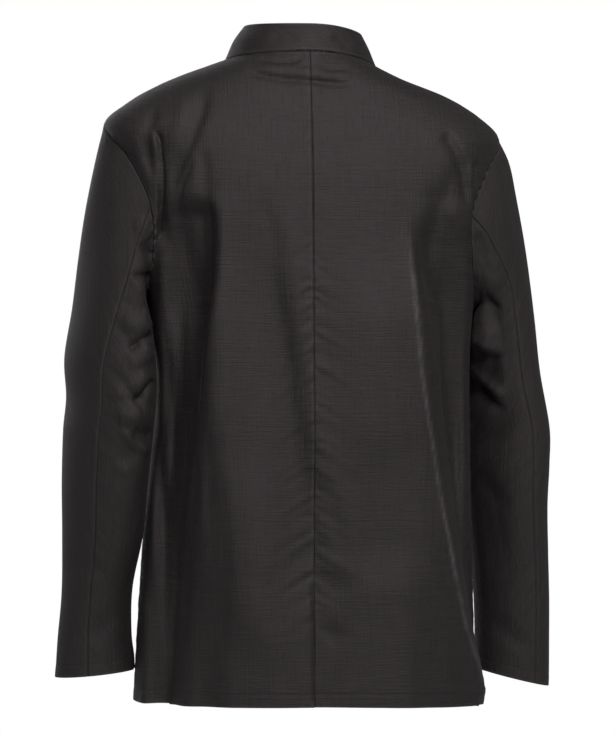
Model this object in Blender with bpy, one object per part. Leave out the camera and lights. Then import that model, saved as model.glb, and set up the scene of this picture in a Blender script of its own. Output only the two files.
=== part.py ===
"""Chef jacket, as it hangs on a wearer: a hollow shell of sewn cloth panels.

Frame: metres, +Z up.  The back faces +Y and the wearer's left is +X.  The origin lies in the
middle of the neck, level with the point where the left shoulder seam meets the collar.

Every piece is a grid of points on the middle of its cloth.  Pieces that are sewn together use the
same points along their seam, so the walls meet edge to edge, SEAM_GAP apart.
"""
import math
from collections import namedtuple

import bpy
from mathutils import Vector

MM = 0.001

# ---- cloth, in millimetres -------------------------------------------------------------------
CLOTH = 1.5                 # wall of one panel
COLLAR_CLOTH = 2.6          # two layers of cloth with interfacing
HEM_FOLD = 1.0              # what a turned-in hem adds to the wall, on the inside
SEAM_GAP = 0.3              # gap between two sewn pieces
LAP_STEP = 3.2              # distance between the two fronts where they cross
LAP_EASE = 22.0             # half the width of the strip in which a front steps over the other
LAP_TOP = 58.0              # how far a front crosses the centre at the neck
LAP_LOW = 88.0              # how far it crosses from LAP_LOW_Z down
LAP_LOW_Z = -200.0
LAP_WIDENS = 140.0          # height over which the lap widens
LAP_DROP = 3.5              # the crossed top edge stays this far below the collar

# ---- grid counts -----------------------------------------------------------------------------
BACK_COLUMNS = 14           # from the centre back to the side seam
FRONT_COLUMNS = 12          # from the side seam to the end of the collar
LAP_COLUMNS = 4             # from the end of the collar to the free front edge
BODY_STEPS = (1, 3, 3, 3, 3, 2)      # grid rows in each stretch from the hem to the underarm
ARMHOLE_STEPS = 9           # grid rows in the armhole
SHOULDER_STEPS = (2, 2, 2, 1)        # grid rows in each stretch of the shoulder
RIDGE_COLUMN = 8            # this grid column of the right back runs along its longest fold
GUIDE_TOP = -80.0           # height where the columns start to follow it, in millimetres
GUIDE_EASE = 140.0          # and the height over which they ease into it
BACK_SEAM_STEP = 4          # the sleeve's back seam leaves the armhole at this row from the top
FRONT_SEAM_STEP = 6         # and its front seam at this one

# ---- the body, as sections from the hem up ---------------------------------------------------
# z_*: height of the section at the centre back, at each side and at the centre front.
# left, right: half widths.  back, front: half depths.  power: 2 is an ellipse, more is squarer.
Section = namedtuple("Section", "name z_back z_left z_right z_front left right back front power")

BODY = [
    Section("hem", -740, -744, -747, -738, 199, 203, 152, 147, 2.30),
    Section("hem_top", -723, -727, -730, -721, 198, 202, 152, 147, 2.30),
    Section("skirt", -655, -655, -657, -655, 194, 199, 150, 145, 2.30),
    Section("hip", -560, -560, -560, -560, 188, 195, 148, 143, 2.35),
    Section("waist", -460, -460, -460, -460, 180.5, 193, 145, 141, 2.40),
    Section("ribs", -360, -360, -362, -360, 174.5, 192, 142, 138, 2.50),
    Section("underarm", -280, -275, -290, -280, 184, 196, 138, 134, 2.60),
    Section("lower_armhole", -228, -212, -228, -232, 194, 204, 134, 130, 2.70),
    Section("mid_armhole", -180, -158, -173, -195, 206, 209, 130, 125, 2.80),
    Section("upper_armhole", -136, -112, -127, -162, 219, 218, 125, 120, 2.80),
    Section("shoulder_tip", -97, -75, -91, -134, 233, 227, 117, 113, 2.75),
    Section("outer_shoulder", -64, -48, -65, -112, 203, 203, 108, 104, 2.60),
    Section("mid_shoulder", -37, -27, -43, -94, 165, 167, 99, 93, 2.45),
    Section("inner_shoulder", -14, -11, -25, -77, 125, 120, 90, 78, 2.25),
    Section("neck", 6, 1, -8, -62, 91, 83, 80, 64, 2.10),
]
COLLAR = [
    BODY[-1],
    Section("stand", 24, 23, 13, -46, 82, 75, 74, 60, 2.10),
    Section("top", 39, 41, 31, -31, 69, 66, 66, 54, 2.10),
]
UNDERARM = 6                # row of BODY where the armhole starts
SHOULDER_TIP = 10           # row of BODY where it ends
COLLAR_END = 177.0          # angle at which the collar stops, short of the centre front
COLLAR_STEPS = (2, 2)

# How far each armhole cuts in from the side, in degrees round the section, and how round it is.
ARMHOLE_BACK = 31.0
ARMHOLE_FRONT = 33.0
ARMHOLE_ROUND_LOW = 1.9
ARMHOLE_ROUND_HIGH = 1.4
ARMHOLE_CROWD = 1.3         # above 1, the grid rows lie closer together near the underarm

# ---- the sleeves, as sections from the armhole down ------------------------------------------
# outer_*, inner_*: the points furthest from and nearest to the body.  depth: half depth.
# back_seam: where the back seam lies, in degrees from the outer point.
Ring = namedtuple("Ring", "name outer_x outer_z inner_x inner_z outer_y inner_y depth back_seam")

SLEEVE_LEFT = [
    Ring("armhole", 233, -75, 185, -275, 0, 0, 75, 72),
    Ring("head", 240, -103, 194, -283, 0, 4, 75, 76),
    Ring("upper", 248.5, -142, 191, -298, 0, 18, 74, 79),
    Ring("arm", 256.5, -185, 182, -313, -1, 36, 72, 81),
    Ring("biceps", 263.5, -235, 178, -332, -3, 48, 69, 82),
    Ring("lower_arm", 270, -288, 176, -353, -5, 57, 66, 81),
    Ring("above_elbow", 279, -345, 175, -378, -6, 62, 63, 79),
    Ring("elbow", 277, -391, 176.5, -405, -5, 61, 61, 77),
    Ring("below_elbow", 280.5, -430, 179.5, -438, -5, 55, 59, 77),
    Ring("forearm", 282, -490, 184.5, -492, -8, 41, 56, 77),
    Ring("mid_forearm", 281.5, -550, 189.5, -550, -13, 23, 52, 78),
    Ring("low_forearm", 282, -618, 201, -612, -18, 1, 48, 78),
    Ring("wrist", 286.5, -672, 202, -664, -24, -11, 46, 78),
    Ring("cuff_top", 288.5, -703, 198.5, -694, -26, -16, 45, 78),
    Ring("cuff", 290, -719, 197, -709, -27, -18, 45, 78),
]
SLEEVE_RIGHT = [
    Ring("armhole", 229, -91, 196, -290, 0, 0, 75, 75),
    Ring("head", 241, -116, 206, -297, 0, -3, 75, 76),
    Ring("upper", 249, -155, 206, -310, -1, -10, 74, 77),
    Ring("arm", 257, -200, 202, -326, -1, -20, 71, 76),
    Ring("biceps", 264, -248, 198, -344, -2, -29, 68, 74),
    Ring("lower_arm", 271, -302, 195.5, -365, -3, -37, 65, 71),
    Ring("above_elbow", 278, -362, 194.5, -392, -6, -44, 62, 68),
    Ring("elbow", 290, -427, 194.5, -434, -10, -48, 59, 62),
    Ring("below_elbow", 290.5, -470, 195.5, -473, -13, -50, 57, 60),
    Ring("forearm", 289, -520, 198.5, -519, -18, -52, 54, 58),
    Ring("mid_forearm", 291, -575, 203.5, -572, -26, -52, 51, 57),
    Ring("low_forearm", 293.5, -630, 207.5, -625, -34, -52, 48, 57),
    Ring("wrist", 294.5, -684, 209, -671, -41, -53, 46, 58),
    Ring("cuff_top", 295, -719, 209, -699, -45, -55, 45, 58),
    Ring("cuff", 295, -735, 209, -714, -47, -56, 45, 58),
]
SLEEVE_STEPS = (1, 2, 2, 2, 2, 2, 2, 2, 2, 2, 2, 2, 1, 1)
FRONT_SEAM = 118.0          # where the front sleeve seam lies, in degrees from the outer point
HEAD_FADE = {1: 6.0, -1: 4.0}        # sections over which each sleeve forgets its armhole's shape

# ---- the largest folds -----------------------------------------------------------------------
# z_top, z_bottom: its ends.  angle_*: degrees from the centre back, + on the wearer's left, at
# the top, the middle and the bottom.  spread: half width in degrees.  height: + is a ridge.
# A fold rises over FOLD_RISE of its length and fades over FOLD_FADE, unless it runs through the
# hem, as one does that ends below HEM_END.
Fold = namedtuple("Fold", "name z_top z_bottom angle_top angle_mid angle_bottom spread height")

FOLD_RISE = 0.25
FOLD_FADE = 0.30
HEM_END = -700
RIGHT_RIDGE = Fold("right_ridge", -150, -745, -27, -45, -70, 6.5, 9)
BODY_FOLDS = [
    RIGHT_RIDGE,
    Fold("right_hollow", -140, -745, -41, -59, -84, 8.0, -9),
    Fold("left_ridge", -170, -745, 29, 33, 40, 7.0, 6),
    Fold("left_hollow", -150, -745, 43, 48, 56, 9.0, -14),
    Fold("left_side_ridge", -190, -560, 56, 60, 63, 5.5, 3),
    Fold("left_armhole_fold", -85, -240, 47, 52, 56, 4.0, -5),
    Fold("right_blade_hollow", -110, -300, -45, -37, -40, 6.0, -4),
    Fold("left_blade_hollow", -60, -260, 36, 42, 50, 6.0, -4),
    Fold("back_swell", -330, -745, 8, 9, 10, 10.0, 3),
    Fold("front_left_ridge", -170, -735, 128, 126, 122, 8.0, 7),
    Fold("front_left_hollow", -170, -735, 112, 110, 107, 7.0, -7),
    Fold("front_right_ridge", -180, -735, -130, -127, -124, 8.0, 7),
    Fold("front_right_hollow", -180, -735, -113, -111, -108, 7.0, -6),
]

# The same for the sleeves.  at: distance down the sleeve as a share of its length, on the back
# seam.  slant: how much that share changes for each degree round.  angle, reach: its middle and
# half length round the sleeve, in degrees from the outer point, + over the back.
SleeveFold = namedtuple("SleeveFold", "name at slant angle reach spread height")

LEFT_SLEEVE_FOLDS = [
    SleeveFold("upper_pocket", 0.36, 0.0006, 118, 42, 0.030, -4),
    SleeveFold("elbow_crease", 0.47, 0.0010, 120, 40, 0.022, -5),
    SleeveFold("elbow_bulge", 0.53, 0.0008, 116, 40, 0.024, 3.5),
    SleeveFold("low_crease", 0.60, -0.0008, 120, 36, 0.024, -3.5),
    SleeveFold("wrist_crease", 0.84, -0.0006, 100, 50, 0.022, -2.5),
    SleeveFold("front_elbow_crease", 0.50, 0.0006, -80, 55, 0.026, -5),
    SleeveFold("front_low_crease", 0.60, -0.0006, -90, 50, 0.026, -4),
]
RIGHT_SLEEVE_FOLDS = [
    SleeveFold("upper_pocket", 0.40, 0.0008, 118, 38, 0.026, -4.5),
    SleeveFold("elbow_ridge", 0.45, 0.0012, 112, 42, 0.020, 3.5),
    SleeveFold("elbow_crease", 0.51, 0.0012, 112, 42, 0.022, -4),
    SleeveFold("low_crease", 0.62, -0.0008, 118, 36, 0.024, -3),
    SleeveFold("wrist_crease", 0.85, -0.0006, 100, 50, 0.022, -2.5),
    SleeveFold("front_elbow_crease", 0.51, 0.0006, -80, 55, 0.026, -5),
    SleeveFold("front_low_crease", 0.61, -0.0006, -90, 50, 0.026, -4),
]

# ---- buttons ---------------------------------------------------------------------------------
BUTTON_RADIUS = 9.0
BUTTON_THICK = 3.4
BUTTON_EDGE = 0.9           # rounding of the back and front edges
BUTTON_WAIST = 1.2          # height above the back where the button is widest
BUTTON_RIM = 2.2            # width of the raised rim
BUTTON_DISH = 1.1           # depth of the dish inside it
BUTTON_CLEAR = 0.8          # from the panel's outer face to the flat back of the button
BUTTON_SIDES = 16
BUTTON_X = 62.0             # each column of buttons is this far from the centre front
BUTTON_TOP_Z = -128.0
BUTTON_PITCH = 86.0
BUTTON_ROWS = 5

CLOTH_COLOUR = (0.030, 0.025, 0.026)
BUTTON_COLOUR = (0.018, 0.017, 0.018)


# ---- small helpers ---------------------------------------------------------------------------
def smooth(x):
    """Rise from 0 to 1 with level ends."""
    x = min(1.0, max(0.0, x))
    return x * x * (3 - 2 * x)


def spline(table, place, column):
    """Value of one column of a table at a place between its rows, on a smooth curve."""
    last = len(table) - 1
    row = min(int(place), last - 1)
    f = place - row
    p0, p1, p2, p3 = (getattr(table[min(max(row + k, 0), last)], column) for k in (-1, 0, 1, 2))
    return p1 + 0.5 * f * (p2 - p0 + f * (2 * p0 - 5 * p1 + 4 * p2 - p3 + f * (3 * (p1 - p2) + p3 - p0)))


def places(steps, start=0):
    """Row places for a list of counts, one count for each stretch between two table rows."""
    found = [float(start)]
    for stretch, count in enumerate(steps):
        found += [start + stretch + (k + 1) / count for k in range(count)]
    return found


# ---- the body surface ------------------------------------------------------------------------
def fold_share(fold, z):
    """How far down a fold a height is, from 0 at its top to 1 at its bottom."""
    return (fold.z_top - z) / (fold.z_top - fold.z_bottom)


def fold_angle(fold, z):
    """Angle of a fold's middle at a height, on a parabola through its three angles."""
    share = min(1.0, max(0.0, fold_share(fold, z)))
    a, b, c = fold.angle_top, fold.angle_mid, fold.angle_bottom
    return a + (4 * b - 3 * a - c) * share + 2 * (a - 2 * b + c) * share * share


def fold_height(fold, angle, z):
    """How far a fold lifts or sinks the body surface at an angle and height."""
    share = fold_share(fold, z)
    if share <= 0:
        return 0.0
    fade = smooth(share / FOLD_RISE)
    if fold.z_bottom > HEM_END:
        fade *= smooth((1 - share) / FOLD_FADE)
    return fold.height * fade * math.exp(-((angle - fold_angle(fold, z)) / fold.spread) ** 2)


def body_point(table, place, angle):
    """Point in millimetres.  angle: 0 centre back, 90 left side, 180 centre front, - is right."""
    turn = math.radians(angle)
    side, along = math.sin(turn), math.cos(turn)
    power = 2 / spline(table, place, "power")
    half = spline(table, place, "left" if side >= 0 else "right")
    depth = spline(table, place, "back" if along >= 0 else "front")
    x = math.copysign(abs(side) ** power * half, side)
    y = math.copysign(abs(along) ** power * depth, along)
    centre = spline(table, place, "z_back" if along >= 0 else "z_front")
    edge = spline(table, place, "z_left" if side >= 0 else "z_right")
    z = centre + (edge - centre) * side * side
    if table is BODY:
        lift = sum(fold_height(fold, angle, z) for fold in BODY_FOLDS)
        away = Vector((x / half ** 2, y / depth ** 2, 0)).normalized()
        x += away.x * lift
        y += away.y * lift
    return Vector((x, y, z))


def armhole_angle(place, cut):
    """Angle of the panel's outer edge: the side seam, the armhole or the shoulder seam."""
    share = (place - UNDERARM) / (SHOULDER_TIP - UNDERARM)
    if not 0 < share < 1:
        return 90.0
    p = ARMHOLE_ROUND_HIGH if share > 0.5 else ARMHOLE_ROUND_LOW
    return 90 - cut * (1 - abs(2 * share - 1) ** p) ** (1 / p)


def spread_angles(edge, count):
    """Angles from the centre to an edge short of the side seam, drawn in most near that edge."""
    shares = [k / count for k in range(count + 1)]
    return [90 * u - (90 - edge) * u * u for u in shares]


def follow_fold(angles, fold, z, guide):
    """Draw a row's angles sideways until the one at index guide lies on a fold."""
    start, edge = angles[guide], angles[-1]
    target = start + (abs(fold_angle(fold, z)) - start) * smooth((GUIDE_TOP - z) / GUIDE_EASE)
    inner = [a * target / start for a in angles[:guide]]
    outer = [edge - (edge - a) * (edge - target) / (edge - start) for a in angles[guide:]]
    return inner + outer


def lap_angle(place):
    """Angle of the free front edge, past the centre front, for a constant lap width."""
    z = spline(BODY, place, "z_front")
    width = LAP_LOW + (LAP_TOP - LAP_LOW) * smooth((z - LAP_LOW_Z) / LAP_WIDENS)
    half = 0.5 * (spline(BODY, place, "left") + spline(BODY, place, "right"))
    power = spline(BODY, place, "power")
    return 180 + math.degrees(math.asin((width / half) ** (power / 2)))


ROWS = (places(BODY_STEPS)[:-1]
        + [UNDERARM + (SHOULDER_TIP - UNDERARM) * (k / ARMHOLE_STEPS) ** ARMHOLE_CROWD
           for k in range(ARMHOLE_STEPS)]
        + places(SHOULDER_STEPS, SHOULDER_TIP))
FIRST_ARMHOLE_ROW = sum(BODY_STEPS)
LAST_ARMHOLE_ROW = FIRST_ARMHOLE_ROW + ARMHOLE_STEPS


def back_grid(side):
    """Rows from the hem up, columns from the centre back to the outer edge."""
    grid = []
    for place in ROWS:
        angles = spread_angles(armhole_angle(place, ARMHOLE_BACK), BACK_COLUMNS)
        if side < 0:
            angles = follow_fold(angles, RIGHT_RIDGE, spline(BODY, place, "z_back"), RIDGE_COLUMN)
        grid.append([body_point(BODY, place, side * a) for a in angles])
    return grid


def front_grid(side):
    """Rows from the hem up, columns from the outer edge to past the centre front."""
    grid = []
    for place in ROWS:
        spread = spread_angles(armhole_angle(place, ARMHOLE_FRONT), FRONT_COLUMNS)
        angles = [180 - max(a, 180 - COLLAR_END) for a in reversed(spread)]
        lap = lap_angle(place) - COLLAR_END
        angles += [COLLAR_END + lap * (k + 1) / LAP_COLUMNS for k in range(LAP_COLUMNS)]
        grid.append([body_point(BODY, place, side * (a if a <= 180 else a - 360)) for a in angles])
    top, below = grid[-1], grid[-2]
    for k in range(FRONT_COLUMNS + 1, len(top)):
        top[k] += (below[k] - top[k]).normalized() * LAP_DROP
    return grid


def collar_grid():
    """Rows from the neck seam up, columns from the right end round the back to the left end."""
    left = spread_angles(90, BACK_COLUMNS)[:-1]      # the same columns as the panels below
    left += [180 - max(a, 180 - COLLAR_END) for a in reversed(spread_angles(90, FRONT_COLUMNS))]
    angles = [-a for a in reversed(left[1:])] + left
    return [[body_point(COLLAR, place, a) for a in angles] for place in places(COLLAR_STEPS)]


# ---- the sleeves -----------------------------------------------------------------------------
def ring_angles(back_seam):
    """Degrees of the ring's points: over the back to the underarm, and on round the front."""
    steps, near, far = ARMHOLE_STEPS, BACK_SEAM_STEP, FRONT_SEAM_STEP
    back = [back_seam * k / near for k in range(near)]
    back += [back_seam + (180 - back_seam) * k / (steps - near) for k in range(steps - near)]
    front = [360 - FRONT_SEAM * k / far for k in range(1, far + 1)]
    under = [360 - FRONT_SEAM - (180 - FRONT_SEAM) * k / (steps - far) for k in range(1, steps - far)]
    return back + [180.0] + list(reversed(under)) + list(reversed(front))


def sleeve_point(table, place, angle, side):
    """Point of a sleeve section, in millimetres, without folds."""
    value = {name: spline(table, place, name) for name in Ring._fields[1:]}
    outer = Vector((value["outer_x"], value["outer_y"], value["outer_z"]))
    inner = Vector((value["inner_x"], value["inner_y"], value["inner_z"]))
    turn = math.radians(angle)
    point = (outer + inner) / 2 + (outer - inner) / 2 * math.cos(turn)
    point.y += value["depth"] * math.sin(turn)
    point.x *= side
    return point


def sleeve_lift(folds, share, angle):
    """Height of all folds of a sleeve at a share of its length."""
    signed = angle if angle <= 180 else angle - 360
    lift = 0.0
    for fold in folds:
        round_by = signed - fold.angle
        if abs(round_by) < fold.reach:
            middle = fold.at + fold.slant * round_by
            fade = math.cos(math.pi / 2 * round_by / fold.reach) ** 2
            lift += fold.height * fade * math.exp(-((share - middle) / fold.spread) ** 2)
    return lift


def sleeve_rings(table, folds, side, armhole):
    """Closed rings from the armhole to the cuff; the first one is the armhole itself."""
    rings = [list(armhole)]
    rows = places(SLEEVE_STEPS)
    start_angles = ring_angles(table[0].back_seam)
    start = [sleeve_point(table, 0, a, side) for a in start_angles]
    for place in rows[1:]:
        keep = 1 - smooth(place / HEAD_FADE[side])       # how much of the armhole's shape is left
        share = place / rows[-1]
        angles = ring_angles(spline(table, place, "back_seam"))
        middle = sleeve_point(table, place, 0, side).lerp(sleeve_point(table, place, 180, side), 0.5)
        ring = []
        for k, angle in enumerate(angles):
            point = sleeve_point(table, place, angle, side) + (armhole[k] - start[k]) * keep
            away = (point - middle).normalized()
            ring.append(point + away * sleeve_lift(folds, share, angle))
        rings.append(ring)
    return rings


def armhole_ring(back, front):
    """The armhole's points: down the back panel's edge, then up the front panel's edge."""
    rows = range(LAST_ARMHOLE_ROW, FIRST_ARMHOLE_ROW - 1, -1)
    down = [back[r][-1] for r in rows]
    up = [front[r][0] for r in reversed(rows)]
    return down + up[1:-1]


def split_sleeve(rings):
    """Upper piece, from the front seam over the top to the back seam, and the under piece."""
    count = len(rings[0])
    front_seam = count - FRONT_SEAM_STEP
    upper = [ring[front_seam:] + ring[:BACK_SEAM_STEP + 1] for ring in rings]
    under = [ring[BACK_SEAM_STEP:front_seam + 1] for ring in rings]
    return upper, under


# ---- walls from grids ------------------------------------------------------------------------
class Piece:
    """One cut piece: its grid, the normal at each point and how its wall lies on the grid."""

    def __init__(self, name, kind, grid, outward, thick=CLOTH, hem_rows=()):
        self.name = name
        self.kind = kind
        self.grid = grid
        self.outer = [[thick / 2] * len(grid[0]) for _ in grid]
        self.inner = [[-thick / 2 - (HEM_FOLD if r in hem_rows else 0)] * len(grid[0])
                      for r in range(len(grid))]
        self.normals = self.grid_normals(outward)

    def grid_normals(self, outward):
        """Normals by differences along rows and columns, turned to the outward side."""
        rows, columns = len(self.grid), len(self.grid[0])
        normals = []
        for r in range(rows):
            line = []
            for c in range(columns):
                along = self.grid[r][min(c + 1, columns - 1)] - self.grid[r][max(c - 1, 0)]
                up = self.grid[min(r + 1, rows - 1)][c] - self.grid[max(r - 1, 0)][c]
                line.append(along.cross(up).normalized() * outward)
            normals.append(line)
        return normals

    def edge_points(self):
        """Row and column of each point on the piece's edge."""
        rows, columns = len(self.grid), len(self.grid[0])
        return [(r, c) for r in range(rows) for c in range(columns)
                if r in (0, rows - 1) or c in (0, columns - 1)]

    def draw_in(self, r, c, distance):
        """Move an edge point into the piece, square to its normal, once for each edge it is on."""
        rows, columns = len(self.grid), len(self.grid[0])
        steps = []
        if r in (0, rows - 1):
            steps.append((1 if r == 0 else rows - 2, c))
        if c in (0, columns - 1):
            steps.append((r, 1 if c == 0 else columns - 2))
        normal = self.normals[r][c]
        start = self.grid[r][c].copy()
        for row, column in steps:
            way = self.grid[row][column] - start
            way -= normal * way.dot(normal)
            self.grid[r][c] = self.grid[r][c] + way.normalized() * distance


def share_seam_normals(pieces):
    """Give points that pieces share one normal, so that their end faces are parallel.

    Body, sleeve and collar count the same there, however many panels each of them brings.
    """
    groups = {}
    for piece in pieces:
        for r, c in piece.edge_points():
            key = tuple(round(value, 2) for value in piece.grid[r][c])
            groups.setdefault(key, []).append((piece, r, c))
    for group in groups.values():
        by_kind = {}
        for piece, r, c in group:
            by_kind[piece.kind] = by_kind.get(piece.kind, Vector()) + piece.normals[r][c]
        total = sum((normal.normalized() for normal in by_kind.values()), Vector())
        for piece, r, c in group:
            piece.normals[r][c] = total.normalized()
    for piece in pieces:
        for r, c in piece.edge_points():
            piece.draw_in(r, c, SEAM_GAP / 2)


def lay_lap(piece, over):
    """Step a front out over, or in under, the other front where they cross."""
    for r, row in enumerate(piece.grid):
        for c, point in enumerate(row):
            if point.y < 0:
                past = smooth((LAP_EASE - point.x) / (2 * LAP_EASE))
                step = LAP_STEP * past if over else LAP_STEP * (past - 1)
                piece.outer[r][c] += step
                piece.inner[r][c] += step


def material(name, colour, roughness, sheen):
    """Principled material of one kind of piece."""
    made = bpy.data.materials.get(name) or bpy.data.materials.new(name)
    made.use_nodes = True
    shader = made.node_tree.nodes["Principled BSDF"]
    shader.inputs["Base Color"].default_value = (*colour, 1)
    shader.inputs["Roughness"].default_value = roughness
    shader.inputs["Metallic"].default_value = 0.0
    shader.inputs["Sheen Weight"].default_value = sheen
    return made


def add_object(name, points, faces, look):
    """Object from points in millimetres."""
    mesh = bpy.data.meshes.new(name)
    mesh.from_pydata([tuple(p * MM) for p in points], [], faces)
    mesh.validate()
    mesh.materials.append(look)
    made = bpy.data.objects.new(name, mesh)
    bpy.context.scene.collection.objects.link(made)
    return made


def wall_object(piece, look):
    """Closed wall: an outer and an inner skin, joined along the edges."""
    rows, columns = len(piece.grid), len(piece.grid[0])
    points = []
    for offsets in (piece.outer, piece.inner):
        for r in range(rows):
            points += [piece.grid[r][c] + piece.normals[r][c] * offsets[r][c] for c in range(columns)]
    inside = rows * columns
    faces = []
    for r in range(rows - 1):
        for c in range(columns - 1):
            a, b = r * columns + c, r * columns + c + 1
            d, e = a + columns, b + columns
            if (points[a] - points[e]).length < (points[b] - points[d]).length:
                skin = [(a, b, e), (a, e, d)]
            else:
                skin = [(a, b, d), (b, e, d)]
            faces += skin
            faces += [(inside + i, inside + k, inside + j) for i, j, k in skin]
    border = [c for c in range(columns)]
    border += [r * columns + columns - 1 for r in range(1, rows)]
    border += [(rows - 1) * columns + c for c in range(columns - 2, -1, -1)]
    border += [r * columns for r in range(rows - 2, 0, -1)]
    for k, a in enumerate(border):
        b = border[(k + 1) % len(border)]
        # Both pieces of a seam split their end faces along the same diagonal.
        if points[a].z > points[b].z:
            faces += [(b, a, inside + b), (a, inside + a, inside + b)]
        else:
            faces += [(b, a, inside + a), (b, inside + a, inside + b)]
    first = (points[1] - points[0]).cross(points[columns] - points[0])
    if first.dot(piece.normals[0][0]) < 0:
        faces = [tuple(reversed(face)) for face in faces]
    return add_object(piece.name, points, faces, look)


# ---- buttons ---------------------------------------------------------------------------------
def front_seat(front, x, z):
    """Point of the over front's outer face, and its normal, at an x and a height."""
    best = None
    for r in range(len(front.grid) - 1):
        for c in range(len(front.grid[0]) - 1):
            corners = [(r, c), (r, c + 1), (r + 1, c + 1), (r + 1, c)]
            xs = [front.grid[i][j].x for i, j in corners]
            zs = [front.grid[i][j].z for i, j in corners]
            if front.grid[r][c].y < 0 and min(xs) <= x <= max(xs) and min(zs) <= z <= max(zs):
                best = corners
    skin = [front.grid[i][j] + front.normals[i][j] * front.outer[i][j] for i, j in best]
    normal = (skin[2] - skin[0]).cross(skin[3] - skin[1]).normalized()
    if normal.y > 0:
        normal = -normal
    middle = sum(skin, Vector()) / 4
    y = middle.y - (normal.x * (x - middle.x) + normal.z * (z - middle.z)) / normal.y
    return Vector((x, y, z)), normal


def button_object(name, seat, normal, look):
    """Dished round button with its flat back BUTTON_CLEAR from the cloth."""
    across = normal.cross(Vector((0, 0, 1))).normalized()
    upward = across.cross(normal)
    base, top = BUTTON_CLEAR, BUTTON_CLEAR + BUTTON_THICK
    profile = [
        (BUTTON_RADIUS - BUTTON_EDGE, base),
        (BUTTON_RADIUS, base + BUTTON_WAIST),
        (BUTTON_RADIUS - BUTTON_EDGE, top),
        (BUTTON_RADIUS - BUTTON_RIM, top - BUTTON_DISH),
    ]
    points = []
    for radius, height in profile:
        for k in range(BUTTON_SIDES):
            turn = 2 * math.pi * k / BUTTON_SIDES
            points.append(seat + normal * height
                          + across * radius * math.cos(turn) + upward * radius * math.sin(turn))
    faces = []
    for ring in range(len(profile) - 1):
        for k in range(BUTTON_SIDES):
            a, b = ring * BUTTON_SIDES + k, ring * BUTTON_SIDES + (k + 1) % BUTTON_SIDES
            faces.append((a, a + BUTTON_SIDES, b + BUTTON_SIDES, b))
    faces.append(tuple(range(BUTTON_SIDES)))
    faces.append(tuple(reversed(range(len(points) - BUTTON_SIDES, len(points)))))
    first = (points[1] - points[0]).cross(points[BUTTON_SIDES] - points[0])
    if first.dot(points[0] - seat - normal * base) < 0:
        faces = [tuple(reversed(face)) for face in faces]
    return add_object(name, points, [tuple(reversed(face)) for face in faces], look)


# ---- the jacket ------------------------------------------------------------------------------
def build():
    for old in list(bpy.data.objects):
        bpy.data.objects.remove(old)
    cloth = material("charcoal_poly_cotton", CLOTH_COLOUR, 0.78, 0.35)
    plastic = material("black_button_plastic", BUTTON_COLOUR, 0.38, 0.0)

    backs = {side: back_grid(side) for side in (1, -1)}
    fronts = {side: front_grid(side) for side in (1, -1)}
    hem = (0, 1)
    pieces = {
        "back_left": Piece("back_left", "body", backs[1], -1, hem_rows=hem),
        "back_right": Piece("back_right", "body", backs[-1], 1, hem_rows=hem),
        "front_left": Piece("front_left", "body", fronts[1], -1, hem_rows=hem),
        "front_right": Piece("front_right", "body", fronts[-1], 1, hem_rows=hem),
        "collar": Piece("collar", "collar", collar_grid(), -1, thick=COLLAR_CLOTH),
    }
    sleeves = (("left", 1, SLEEVE_LEFT, LEFT_SLEEVE_FOLDS),
               ("right", -1, SLEEVE_RIGHT, RIGHT_SLEEVE_FOLDS))
    for word, side, table, folds in sleeves:
        rings = sleeve_rings(table, folds, side, armhole_ring(backs[side], fronts[side]))
        last = len(rings) - 1
        for kind, grid in zip(("upper", "under"), split_sleeve(rings)):
            name = f"sleeve_{word}_{kind}"
            pieces[name] = Piece(name, "sleeve", grid, -side, hem_rows=(last - 1, last))
    share_seam_normals(list(pieces.values()))
    lay_lap(pieces["front_left"], over=True)
    lay_lap(pieces["front_right"], over=False)
    for piece in pieces.values():
        wall_object(piece, cloth)

    number = 0
    for row in range(BUTTON_ROWS):
        for side in (1, -1):
            number += 1
            spot = (side * BUTTON_X, BUTTON_TOP_Z - row * BUTTON_PITCH)
            seat, normal = front_seat(pieces["front_left"], *spot)
            button_object(f"button_{number}", seat, normal, plastic)


build()
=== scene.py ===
"""Chef jacket seen from behind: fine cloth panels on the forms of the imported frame.

Every panel is a grid of points in millimetres, worked out from the same tables as the frame's
solids, with creases, seams and sewing added.  It is turned into a closed thin wall in metres.
"""
import math
from collections import namedtuple

import bpy
import numpy as np
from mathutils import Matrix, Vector
from mathutils.bvhtree import BVHTree


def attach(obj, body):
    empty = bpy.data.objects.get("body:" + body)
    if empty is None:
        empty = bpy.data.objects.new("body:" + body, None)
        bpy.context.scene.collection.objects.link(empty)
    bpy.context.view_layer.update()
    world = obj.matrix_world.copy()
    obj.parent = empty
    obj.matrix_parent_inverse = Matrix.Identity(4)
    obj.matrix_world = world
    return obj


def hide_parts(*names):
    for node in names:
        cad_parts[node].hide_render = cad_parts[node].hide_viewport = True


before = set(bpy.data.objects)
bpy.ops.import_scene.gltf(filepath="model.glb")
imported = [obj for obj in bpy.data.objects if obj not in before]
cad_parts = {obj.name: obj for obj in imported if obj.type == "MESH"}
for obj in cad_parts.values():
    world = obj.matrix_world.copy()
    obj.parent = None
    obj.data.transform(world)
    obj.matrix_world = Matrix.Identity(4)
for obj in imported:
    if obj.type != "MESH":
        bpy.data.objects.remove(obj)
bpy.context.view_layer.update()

MM = 0.001

# ---- cloth, in millimetres -------------------------------------------------------------------
CLOTH = 1.5
COLLAR_CLOTH = 2.6
HEM_FOLD = 1.0
HEM_DEPTH = 17.0
LAP_STEP = 3.2
LAP_EASE = 22.0
LAP_TOP = 58.0
LAP_LOW = 88.0
LAP_LOW_Z = -200.0
LAP_WIDENS = 140.0
LAP_DROP = 3.5

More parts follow.
